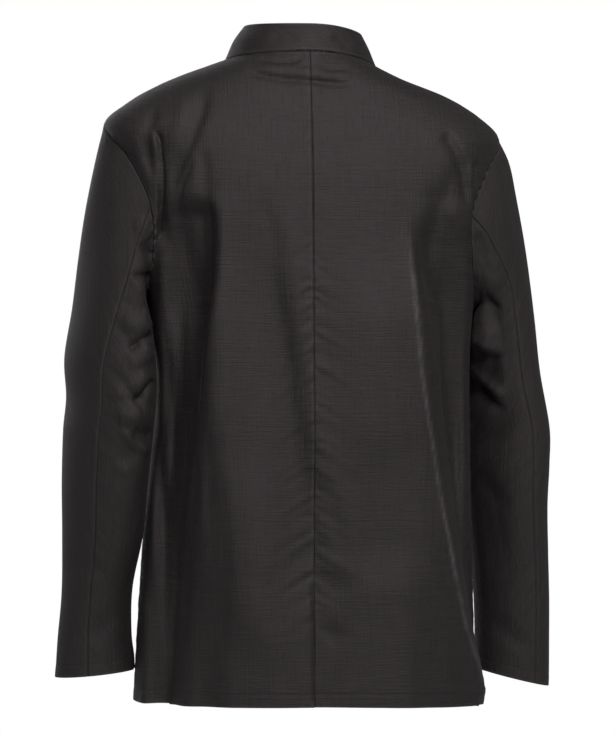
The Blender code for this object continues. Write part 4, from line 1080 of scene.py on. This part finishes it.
def line_on(piece, far, value, across):
    """Points and normals of the outer face where far has one value, across the piece or up it."""
    points, normals = piece.face(), piece.normals
    if not across:
        points, normals, far = points.transpose(1, 0, 2), normals.transpose(1, 0, 2), far.T
    if far[0].mean() > far[-1].mean():
        points, normals, far = points[::-1], normals[::-1], far[::-1]
    column = np.arange(far.shape[1])
    row = np.clip((far < value).sum(0) - 1, 0, far.shape[0] - 2)
    low, high = far[row, column], far[row + 1, column]
    f = np.clip((value - low) / np.maximum(high - low, 1e-6), 0, 1)[:, None]
    return (points[row, column] * (1 - f) + points[row + 1, column] * f,
            unit(normals[row, column] * (1 - f) + normals[row + 1, column] * f))


def stitch_row(points, normals, start=2.0, end=2.0):
    """Starts, ends and normals of the stitches along a line."""
    run = np.concatenate([[0], np.cumsum(np.linalg.norm(np.diff(points, axis=0), axis=1))])
    at = np.arange(start, run[-1] - end - STITCH, STITCH + STITCH_GAP)
    pick = lambda table, where: np.stack([np.interp(where, run, table[:, k]) for k in range(3)], 1)
    return pick(points, at), pick(points, at + STITCH), unit(pick(normals, at + STITCH / 2))


def thread_object(name, rows, look, radius=THREAD_RADIUS):
    """Short lengths of thread, each a little tube whose ends dive into the cloth."""
    starts, ends, normals = (np.concatenate(part) for part in zip(*rows))
    along = unit(ends - starts)
    across = unit(np.cross(along, normals))
    up = np.cross(across, along)
    points = []
    for share, size, lift in THREAD_RINGS:
        middle = starts + (ends - starts) * share + up * (lift * radius)
        for k in range(THREAD_SIDES):
            turn = 2 * math.pi * (k + 0.5) / THREAD_SIDES
            points.append(middle + (across * math.cos(turn) + up * math.sin(turn)) * radius * size)
    points = np.stack(points, 1)
    quads = [(0, 3, 2, 1)]
    for ring in range(len(THREAD_RINGS) - 1):
        for k in range(THREAD_SIDES):
            a, b = ring * THREAD_SIDES + k, ring * THREAD_SIDES + (k + 1) % THREAD_SIDES
            quads.append((a, b, b + THREAD_SIDES, a + THREAD_SIDES))
    last = (len(THREAD_RINGS) - 1) * THREAD_SIDES
    quads.append((last, last + 1, last + 2, last + 3))
    count = points.shape[1]
    faces = (np.array(quads)[None] + count * np.arange(len(points))[:, None, None]).reshape(-1, 4)
    thread = add_object(name, points.reshape(-1, 3), faces[:, ::-1], look)
    cells = math.ceil(math.sqrt(len(points)))
    cell = np.stack([np.arange(len(points)) % cells, np.arange(len(points)) // cells], 1)
    place = [[(0.05, 0.02), (0.45, 0.02), (0.45, 0.10), (0.05, 0.10)]]
    for ring in range(len(THREAD_RINGS) - 1):
        low, high = 0.14 + 0.24 * ring, 0.36 + 0.24 * ring
        for k in range(THREAD_SIDES):
            near, far = 0.2 * k + 0.05, 0.2 * k + 0.23
            place.append([(near, low), (far, low), (far, high), (near, high)])
    place.append([(0.5, 0.02), (0.9, 0.02), (0.9, 0.10), (0.5, 0.10)])
    place = np.array(place)[:, ::-1]
    bake = (cell[:, None, None, :] + place[None]) / cells
    uv = thread.data.uv_layers.new(name="OFBake", do_init=False).uv
    uv.foreach_set("vector", bake.astype(np.float32).ravel())
    return thread


# ---- buttons ---------------------------------------------------------------------------------
BUTTON_CLEAR = 0.8           # from the cloth to the button's flat back
BUTTON_THICK = 3.4
BUTTON_X = 62.0
BUTTON_TOP_Z = -128.0
BUTTON_PITCH = 86.0
BUTTON_ROWS = 5
BUTTON_EYE = 4.0             # radius of the flat middle with the four holes
HOLE_AT, HOLE_RADIUS = 2.05, 0.78
BUTTON_FLOOR = BUTTON_THICK - 1.1
BUTTON_PROFILE = [           # radius and height, from the middle's edge over the rim to the back
    (BUTTON_EYE, BUTTON_FLOOR), (5.6, BUTTON_FLOOR + 0.06), (6.35, BUTTON_FLOOR + 0.36),
    (6.8, BUTTON_THICK - 0.22), (7.3, BUTTON_THICK - 0.03), (7.9, BUTTON_THICK),
    (8.4, BUTTON_THICK - 0.20), (8.78, BUTTON_THICK - 0.70),
    (8.97, 2.0), (9.0, 1.2), (8.85, 0.6), (8.45, 0.16), (8.0, 0.0), (BUTTON_EYE, 0.0)]
BUTTON_ARC = 8               # steps in a quarter turn
HOLES = [(math.cos(math.radians(45 + 90 * k)), math.sin(math.radians(45 + 90 * k))) for k in range(4)]
BUTTONHOLE = 21.0
BUTTONHOLE_PITCH = 0.56


def button_quads():
    """Quads of a dished button with four holes through it, standing on the xy plane."""
    quads = []
    for k, (x, y) in enumerate(HOLES):
        spokes = [90.0 * k, 90.0 * (k + 1)]
        turn = lambda degrees, r: (r * math.cos(math.radians(degrees)), r * math.sin(math.radians(degrees)))
        edge = [(0.0, 0.0), turn(spokes[0], BUTTON_EYE / 3), turn(spokes[0], BUTTON_EYE * 2 / 3)]
        edge += [turn(spokes[0] + 90.0 * j / BUTTON_ARC, BUTTON_EYE) for j in range(BUTTON_ARC + 1)]
        edge += [turn(spokes[1], BUTTON_EYE * 2 / 3), turn(spokes[1], BUTTON_EYE / 3)]
        x, y = x * HOLE_AT, y * HOLE_AT
        angles = [math.atan2(b - y, a - x) for a, b in edge]
        hole = [(x + HOLE_RADIUS * math.cos(t), y + HOLE_RADIUS * math.sin(t)) for t in angles]
        for j in range(len(edge)):
            i = (j + 1) % len(edge)
            for ring, z, flip in ((edge, BUTTON_FLOOR, 1), (edge, 0.0, -1)):
                quads.append([(*ring[j], z), (*ring[i], z), (*hole[i], z), (*hole[j], z)][::flip])
            quads.append([(*hole[j], BUTTON_FLOOR), (*hole[i], BUTTON_FLOOR), (*hole[i], 0.0), (*hole[j], 0.0)])
    steps = 4 * BUTTON_ARC
    for (r, z), (s, w) in zip(BUTTON_PROFILE[:-1], BUTTON_PROFILE[1:]):
        for j in range(steps):
            a, b = 2 * math.pi * j / steps, 2 * math.pi * (j + 1) / steps
            quads.append([(r * math.cos(a), r * math.sin(a), z), (s * math.cos(a), s * math.sin(a), w),
                          (s * math.cos(b), s * math.sin(b), w), (r * math.cos(b), r * math.sin(b), z)])
    return np.array(quads)


def button_mesh():
    """Points and faces of the button, with the corners that its quads share joined."""
    corners = button_quads().reshape(-1, 3)
    _, first, index = np.unique(np.round(corners, 4), axis=0, return_index=True, return_inverse=True)
    return corners[first], index.reshape(-1, 4)


class Ground:
    """The outer face of the over front, found by rays."""

    def __init__(self, cloth_object):
        mesh = cloth_object.data
        self.tree = BVHTree.FromPolygons([v.co / MM for v in mesh.vertices],
                                         [p.vertices[:] for p in mesh.polygons])

    def at(self, x, z):
        return self.tree.ray_cast(Vector((x, -600, z)), Vector((0, 1, 0)))[:2]

    def seat(self, x, z, reach=7.0):
        """Point and mean normal over a small round of cloth, lifted to its highest point."""
        ways = HOLES + [(1, 0), (0, 1), (-1, 0), (0, -1)]
        spots = [(x, z)] + [(x + reach * a, z + reach * b) for a, b in ways]
        hits = [self.at(*spot) for spot in spots]
        normal = sum((hit[1] for hit in hits), Vector()).normalized()
        if normal.y > 0:
            normal = -normal
        middle = Vector(hits[0][0])
        high = max((Vector(hit[0]) - middle).dot(normal) for hit in hits)
        return middle + normal * high, normal


def frame_at(seat, normal):
    """A place and the directions across, up and out of the cloth there."""
    across = normal.cross(Vector((0, 0, 1))).normalized()
    return np.array(seat), np.array(across), np.array(across.cross(normal)), np.array(normal)


def button_threads(place):
    """Two bars of thread through the holes, and the strands below the button."""
    seat, across, up, normal = place
    starts, ends, faces = [], [], []
    floor = BUTTON_CLEAR + BUTTON_FLOOR + 0.12
    for x, y in HOLES:
        for shift in (-0.28, 0.0, 0.28):
            foot = seat + across * x * HOLE_AT + up * (y * HOLE_AT + shift)
            if x > 0:
                starts.append(foot - across * 2 * x * HOLE_AT + normal * floor)
                ends.append(foot + normal * floor)
                faces.append(normal)
            starts.append(foot - normal * 0.6)
            ends.append(foot + normal * (BUTTON_CLEAR + BUTTON_FLOOR))
            faces.append(across)
    return np.array(starts), np.array(ends), np.array(faces)


def buttonhole_threads(ground, x, z):
    """Close stitches round a slit that starts under the button, and a bar at each end."""
    starts, ends, faces = [], [], []
    first = x - 3.0
    for step in np.arange(0, BUTTONHOLE + 0.01, BUTTONHOLE_PITCH):
        at_end = step < 1.2 or step > BUTTONHOLE - 1.2
        spot, face = ground.at(first + step, z)
        up, face = Vector((0, 0, 1)), face if face.y < 0 else -face
        up = (up - face * up.dot(face)).normalized()
        for way in (1, -1):
            starts.append(spot + up * (0.0 if at_end else 0.16 * way))
            ends.append(spot + up * 1.55 * way)
            faces.append(face)
    return np.array(starts), np.array(ends), np.array(faces)


# ---- materials -------------------------------------------------------------------------------
class Nodes:
    """Short calls for building a material's node tree."""

    def __init__(self, name):
        self.material = bpy.data.materials.new(name)
        self.material.use_nodes = True
        self.tree = self.material.node_tree
        self.shader = self.tree.nodes["Principled BSDF"]

    def link(self, source, target):
        self.tree.links.new(source, target)

    def fill(self, socket, value):
        if isinstance(value, bpy.types.NodeSocket):
            self.link(value, socket)
        else:
            socket.default_value = value

    def shade(self, **values):
        """Set or link the shader's inputs, named with _ for a space."""
        for name, value in values.items():
            self.fill(self.shader.inputs[name.replace("_", " ")], value)

    def math(self, operation, a, b=0.0, c=0.0):
        node = self.tree.nodes.new("ShaderNodeMath")
        node.operation = operation
        for socket, value in zip(node.inputs, (a, b, c)):
            self.fill(socket, value)
        return node.outputs[0]

    def remap(self, value, low, high, new_low, new_high):
        node = self.tree.nodes.new("ShaderNodeMapRange")
        for socket, item in zip(node.inputs, (value, low, high, new_low, new_high)):
            self.fill(socket, item)
        return node.outputs[0]

    def scaled(self, vector, scale):
        node = self.tree.nodes.new("ShaderNodeMapping")
        self.link(vector, node.inputs["Vector"])
        node.inputs["Scale"].default_value = scale
        return node.outputs[0]

    def noise(self, vector, scale, detail=2.0, rough=0.5, offset=0.0):
        node = self.tree.nodes.new("ShaderNodeTexNoise")
        moved = self.tree.nodes.new("ShaderNodeMapping")
        self.link(vector, moved.inputs["Vector"])
        moved.inputs["Location"].default_value = (offset, offset * 0.7, offset * 1.3)
        self.link(moved.outputs[0], node.inputs["Vector"])
        node.inputs["Scale"].default_value = scale
        node.inputs["Detail"].default_value = detail
        node.inputs["Roughness"].default_value = rough
        return node.outputs[0]

    def mix(self, factor, a, b, kind="MIX"):
        node = self.tree.nodes.new("ShaderNodeMix")
        node.data_type = "RGBA"
        node.blend_type = kind
        self.fill(node.inputs["Factor"], factor)
        self.fill(node.inputs[6], a)
        self.fill(node.inputs[7], b)
        return node.outputs[2]

    def bump(self, height, distance, strength=1.0, under=None):
        node = self.tree.nodes.new("ShaderNodeBump")
        node.inputs["Strength"].default_value = strength
        node.inputs["Distance"].default_value = distance
        self.link(height, node.inputs["Height"])
        if under is not None:
            self.link(under, node.inputs["Normal"])
        return node.outputs[0]


THREAD = 0.00052             # pitch of the yarns, in metres
CLOTH_DARK = (0.0052, 0.0042, 0.0042, 1)
CLOTH_LIGHT = (0.0142, 0.0114, 0.0114, 1)
# pale colour of worn edges and seam lips, also used for the painted highlight on the long fold's crest
CLOTH_WORN_AND_HIGHLIGHT = (0.075, 0.067, 0.069, 1)


def cloth_material(name):
    """Charcoal poly-cotton in a plain weave, with slubs in both yarns, paler worn edges and a painted highlight
    on the long fold's crest.
    """
    n = Nodes(name)
    grain = n.tree.nodes.new("ShaderNodeUVMap")
    grain.uv_map = "grain"
    grain = grain.outputs[0]
    split = n.tree.nodes.new("ShaderNodeSeparateXYZ")
    n.link(grain, split.inputs[0])
    across, along = split.outputs[0], split.outputs[1]
    warp = n.math("SINE", n.math("MULTIPLY", across, 2 * math.pi / THREAD))
    weft = n.math("SINE", n.math("MULTIPLY", along, 2 * math.pi / THREAD))
    weave = n.math("MULTIPLY", warp, weft)
    warp_slub = n.noise(n.scaled(grain, (1400, 38, 1)), 1.0, 1.0, 0.4, 3.0)
    weft_slub = n.noise(n.scaled(grain, (44, 1250, 1)), 1.0, 1.0, 0.4, 17.0)
    warp_broad = n.noise(n.scaled(grain, (520, 22, 1)), 1.0, 1.0, 0.5, 41.0)
    weft_broad = n.noise(n.scaled(grain, (26, 480, 1)), 1.0, 1.0, 0.5, 29.0)
    yarns = n.math("ADD", n.math("ADD", warp_slub, weft_slub), n.math("ADD", warp_broad, weft_broad))
    tex = n.tree.nodes.new("ShaderNodeTexCoord").outputs["Object"]
    cloudy = n.noise(tex, 9.0, 3.0, 0.55, 5.0)
    mottle = n.noise(tex, 60.0, 2.0, 0.5, 11.0)
    tone = n.remap(yarns, 1.60, 2.40, 0.0, 1.0)
    tone = n.math("ADD", tone, n.remap(cloudy, 0.3, 0.7, -0.10, 0.10))
    tone = n.math("ADD", tone, n.remap(mottle, 0.3, 0.7, -0.06, 0.06))
    tone = n.math("ADD", tone, n.math("MULTIPLY", weave, 0.10))
    colour = n.mix(tone, CLOTH_DARK, CLOTH_LIGHT)
    wear = n.tree.nodes.new("ShaderNodeAttribute")
    wear.attribute_name = "wear"
    # worn edges and lips, and the painted crest highlight, turn the cloth pale here
    pale_wear_and_highlight = n.math("MULTIPLY", wear.outputs["Fac"], n.remap(mottle, 0.35, 0.7, 0.25, 0.75))
    colour = n.mix(pale_wear_and_highlight, colour, CLOTH_WORN_AND_HIGHLIGHT)
    slub = n.bump(yarns, 0.00040, 1.0, n.bump(weave, 0.00008, 0.5))
    n.shade(Base_Color=colour, Roughness=n.remap(yarns, 1.4, 2.6, 0.58, 0.67), Normal=slub,
            Specular_IOR_Level=0.50, Specular_Tint=(1.0, 0.90, 0.92, 1),
            Sheen_Weight=0.03, Sheen_Roughness=0.45, Sheen_Tint=(0.60, 0.52, 0.52, 1))
    return n.material


def thread_material(name):
    """Black sewing thread: fine twist and a little sheen."""
    n = Nodes(name)
    tex = n.tree.nodes.new("ShaderNodeTexCoord").outputs["Object"]
    fuzz = n.noise(tex, 900.0, 2.0, 0.6, 2.0)
    twist = n.noise(n.scaled(tex, (2600, 2600, 4200)), 1.0, 1.0, 0.5, 6.0)
    tone = n.remap(fuzz, 0.35, 0.65, 0.0, 1.0)
    n.shade(Base_Color=n.mix(tone, (0.006, 0.0048, 0.005, 1), (0.020, 0.016, 0.017, 1)),
            Roughness=n.remap(fuzz, 0.3, 0.7, 0.45, 0.62), Normal=n.bump(twist, 0.00005, 0.6),
            Sheen_Weight=0.05)
    return n.material


def button_material(name):
    """Moulded black plastic with fine scratches and dulled patches."""
    n = Nodes(name)
    tex = n.tree.nodes.new("ShaderNodeTexCoord").outputs["Object"]
    cloud = n.noise(tex, 160.0, 3.0, 0.6, 1.0)
    scratch = n.noise(n.scaled(tex, (2600, 2600, 240)), 1.0, 2.0, 0.7, 9.0)
    tone = n.remap(cloud, 0.35, 0.65, 0.0, 1.0)
    dull = n.math("ADD", n.remap(cloud, 0.3, 0.7, 0.22, 0.36), n.remap(scratch, 0.55, 0.8, 0.0, 0.14))
    relief = n.math("ADD", n.math("MULTIPLY", scratch, 0.4), cloud)
    n.shade(Base_Color=n.mix(tone, (0.0065, 0.0062, 0.0064, 1), (0.0125, 0.0115, 0.0118, 1)),
            Roughness=dull, Normal=n.bump(relief, 0.00004, 0.5))
    return n.material


# ---- the cloth -------------------------------------------------------------------------------
def build_pieces():
    """All cloth pieces with their seams shared, creased and shaped."""
    backs = {side: back_grid(side) for side in (1, -1)}
    fronts = {side: front_grid(side) for side in (1, -1)}
    pieces = {
        "back_left": Piece("back_left", "body", backs[1], -1),
        "back_right": Piece("back_right", "body", backs[-1], 1),
        "front_left": Piece("front_left", "body", fronts[1], -1),
        "front_right": Piece("front_right", "body", fronts[-1], 1),
        "collar": Piece("collar", "collar", collar_grid(), -1, COLLAR_CLOTH),
    }
    rings = {}
    for word, side, table, folds in (("left", 1, SLEEVE_LEFT, LEFT_SLEEVE_FOLDS),
                                     ("right", -1, SLEEVE_RIGHT, RIGHT_SLEEVE_FOLDS)):
        rings[side] = armhole_ring(backs[side], fronts[side])
        whole = sleeve_rings(table, folds, side, rings[side])
        for kind, grid in zip(("upper", "under"), split_sleeve(whole)):
            name = f"sleeve_{word}_{kind}"
            pieces[name] = Piece(name, f"sleeve_{word}", grid, -side)
    return pieces, rings


pieces, arm_rings = build_pieces()
groups = seam_groups(pieces.values())
share_normals(groups)
for piece in pieces.values():
    piece.guard = arm_guard(piece, arm_rings)
    piece.plain_normals = piece.normals
apply_creases(pieces.values())
settle(pieces.values(), groups)
let_hang(pieces.values())
for piece in pieces.values():
    fill_underarm(piece)
    if piece.name.startswith("back"):
        open_walls(piece)
settle(pieces.values(), groups)
pucker_seams(pieces)
settle(pieces.values(), groups)

for piece in pieces.values():
    if piece.name.startswith("back"):
        sewn(piece, piece.from_left, lip=0.45 if piece.name == "back_left" else 0.1, deep=0.35)
        sewn(piece, piece.from_right, lip=0.6)
        sewn(piece, piece.from_top, lip=0.3)
        stitched(piece, piece.from_top, NECK_STITCH)
        free(piece, piece.from_bottom)
        hemmed(piece, piece.from_bottom, HEM_DEPTH)
    elif piece.name.startswith("front"):
        sewn(piece, piece.from_left, lip=0.3)
        free(piece, piece.from_right)
        stitched(piece, piece.from_right, FRONT_STITCH)
        sewn(piece, piece.from_top, lip=0.3)
        free(piece, piece.from_bottom)
        hemmed(piece, piece.from_bottom, HEM_DEPTH)
        lay_lap(piece, over=piece.name == "front_left")
    elif piece.name == "collar":
        sewn(piece, piece.from_bottom, lip=0.6)
        for edge in (piece.from_top, piece.from_left, piece.from_right):
            free(piece, edge)
        stitched(piece, piece.from_top, COLLAR_STITCH)
    else:
        sewn(piece, piece.from_left, lip=0.35, deep=1.1)
        sewn(piece, piece.from_right, lip=0.35, deep=1.1)
        sewn(piece, piece.from_bottom, lip=0.5, deep=1.3)
        free(piece, piece.from_top)
        hemmed(piece, piece.from_top, CUFF_HEM)

keep_clear(pieces.values())
settle(pieces.values(), groups)

cloth = cloth_material("charcoal_weave")
made = {}
for piece in pieces.values():
    made[piece.name] = wall_object(piece, cloth)
    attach(made[piece.name], "root")
    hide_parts(piece.name)

# ---- stitches, buttons and buttonholes ---------------------------------------------------------
thread_look = thread_material("black_thread")
for name, piece in pieces.items():
    if piece.kind == "body":
        rows = [stitch_row(*line_on(piece, piece.from_bottom, HEM_DEPTH - 1.5, True))]
        if name.startswith("back"):
            rows.append(stitch_row(*line_on(piece, piece.from_top, NECK_STITCH, True), end=160))
        else:
            rows.append(stitch_row(*line_on(piece, piece.from_right, FRONT_STITCH, False)))
    elif name == "collar":
        rows = [stitch_row(*line_on(piece, piece.from_top, COLLAR_STITCH, True), start=5.0, end=5.0)]
    else:
        rows = [stitch_row(*line_on(piece, piece.from_top, CUFF_HEM - 1.5, True))]
    row = thread_object(f"{name}_stitches", rows, thread_look)
    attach(row, "root")

plastic = button_material("black_button_plastic")
ground = Ground(made["front_left"])
local, quads = button_mesh()
number, sewn_on, bound = 0, [], []
for row in range(BUTTON_ROWS):
    for side in (1, -1):
        number += 1
        x, z = side * BUTTON_X, BUTTON_TOP_Z - row * BUTTON_PITCH
        place = frame_at(*ground.seat(x, z))
        seat, across, up, normal = place
        points = seat + local[:, :1] * across + local[:, 1:2] * up + (local[:, 2:] + BUTTON_CLEAR) * normal
        turned = np.dot(np.cross(across, up), normal) < 0
        button = add_object(f"button_{number}_four_hole", points, quads[:, ::-1] if turned else quads, plastic)
        button.data.set_sharp_from_angle(angle=math.radians(38))
        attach(button, "root")
        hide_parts(f"button_{number}")
        sewn_on.append(button_threads(place))
        if side < 0:
            bound.append(buttonhole_threads(ground, x, z))
for name, rows, radius in (("button_threads", sewn_on, 0.24), ("buttonhole_threads", bound, 0.26)):
    threads = thread_object(name, rows, thread_look, radius)
    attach(threads, "root")

# ---- floor, light and camera -----------------------------------------------------------------
FLOOR_Z = -1.46
floor_mesh = bpy.data.meshes.new("floor")
floor_corners = [(x, y, FLOOR_Z) for x, y in ((-4, -4), (4, -4), (4, 4), (-4, 4))]
floor_mesh.from_pydata(floor_corners, [], [(0, 1, 2, 3)])
floor = bpy.data.objects.new("floor", floor_mesh)
bpy.context.scene.collection.objects.link(floor)
pale = Nodes("pale_floor")
pale.shade(Base_Color=(0.80, 0.80, 0.80, 1), Roughness=0.9)
floor_mesh.materials.append(pale.material)

world = bpy.data.worlds.new("studio")
bpy.context.scene.world = world
world.use_nodes = True
sky = world.node_tree.nodes["Background"]
sky.inputs["Color"].default_value = (1, 1, 1, 1)
path = world.node_tree.nodes.new("ShaderNodeLightPath")
strength = world.node_tree.nodes.new("ShaderNodeMapRange")
world.node_tree.links.new(path.outputs["Is Camera Ray"], strength.inputs["Value"])
strength.inputs["To Min"].default_value = 0.16
strength.inputs["To Max"].default_value = 1.0
world.node_tree.links.new(strength.outputs[0], sky.inputs["Strength"])


def softbox(name, place, aim, energy, size, spread=180):
    """Square area light that faces a place on the jacket."""
    data = bpy.data.lights.new(name, "AREA")
    data.energy = energy
    data.size = size
    data.spread = math.radians(spread)
    lamp = bpy.data.objects.new(name, data)
    bpy.context.scene.collection.objects.link(lamp)
    lamp.location = place
    lamp.rotation_mode = "QUATERNION"
    lamp.rotation_quaternion = (Vector(place) - Vector(aim)).to_track_quat("Z", "Y")


softbox("key", (-0.40, 2.42, 1.6), (-0.10, 0.13, -0.32), 35, 1.3, 115)
softbox("left_fill", (2.3, 1.9, 0.5), (0.0, 0.05, -0.40), 3, 1.6)
softbox("front_fill", (1.2, -2.9, 0.6), (0, 0, -0.38), 26, 2.4)

camera_data = bpy.data.cameras.new("camera")
camera = bpy.data.objects.new("camera", camera_data)
bpy.context.scene.collection.objects.link(camera)
bpy.context.scene.camera = camera
camera_data.sensor_fit = "VERTICAL"
camera_data.angle_y = 2 * math.atan(HALF_HEIGHT / DISTANCE)
camera.location = Vector((TARGET + TOWARDS * DISTANCE) * MM)
camera.rotation_mode = "QUATERNION"
camera.rotation_quaternion = Vector(-TOWARDS).to_track_quat("-Z", "Y")
bpy.context.scene.view_settings.view_transform = "Standard"
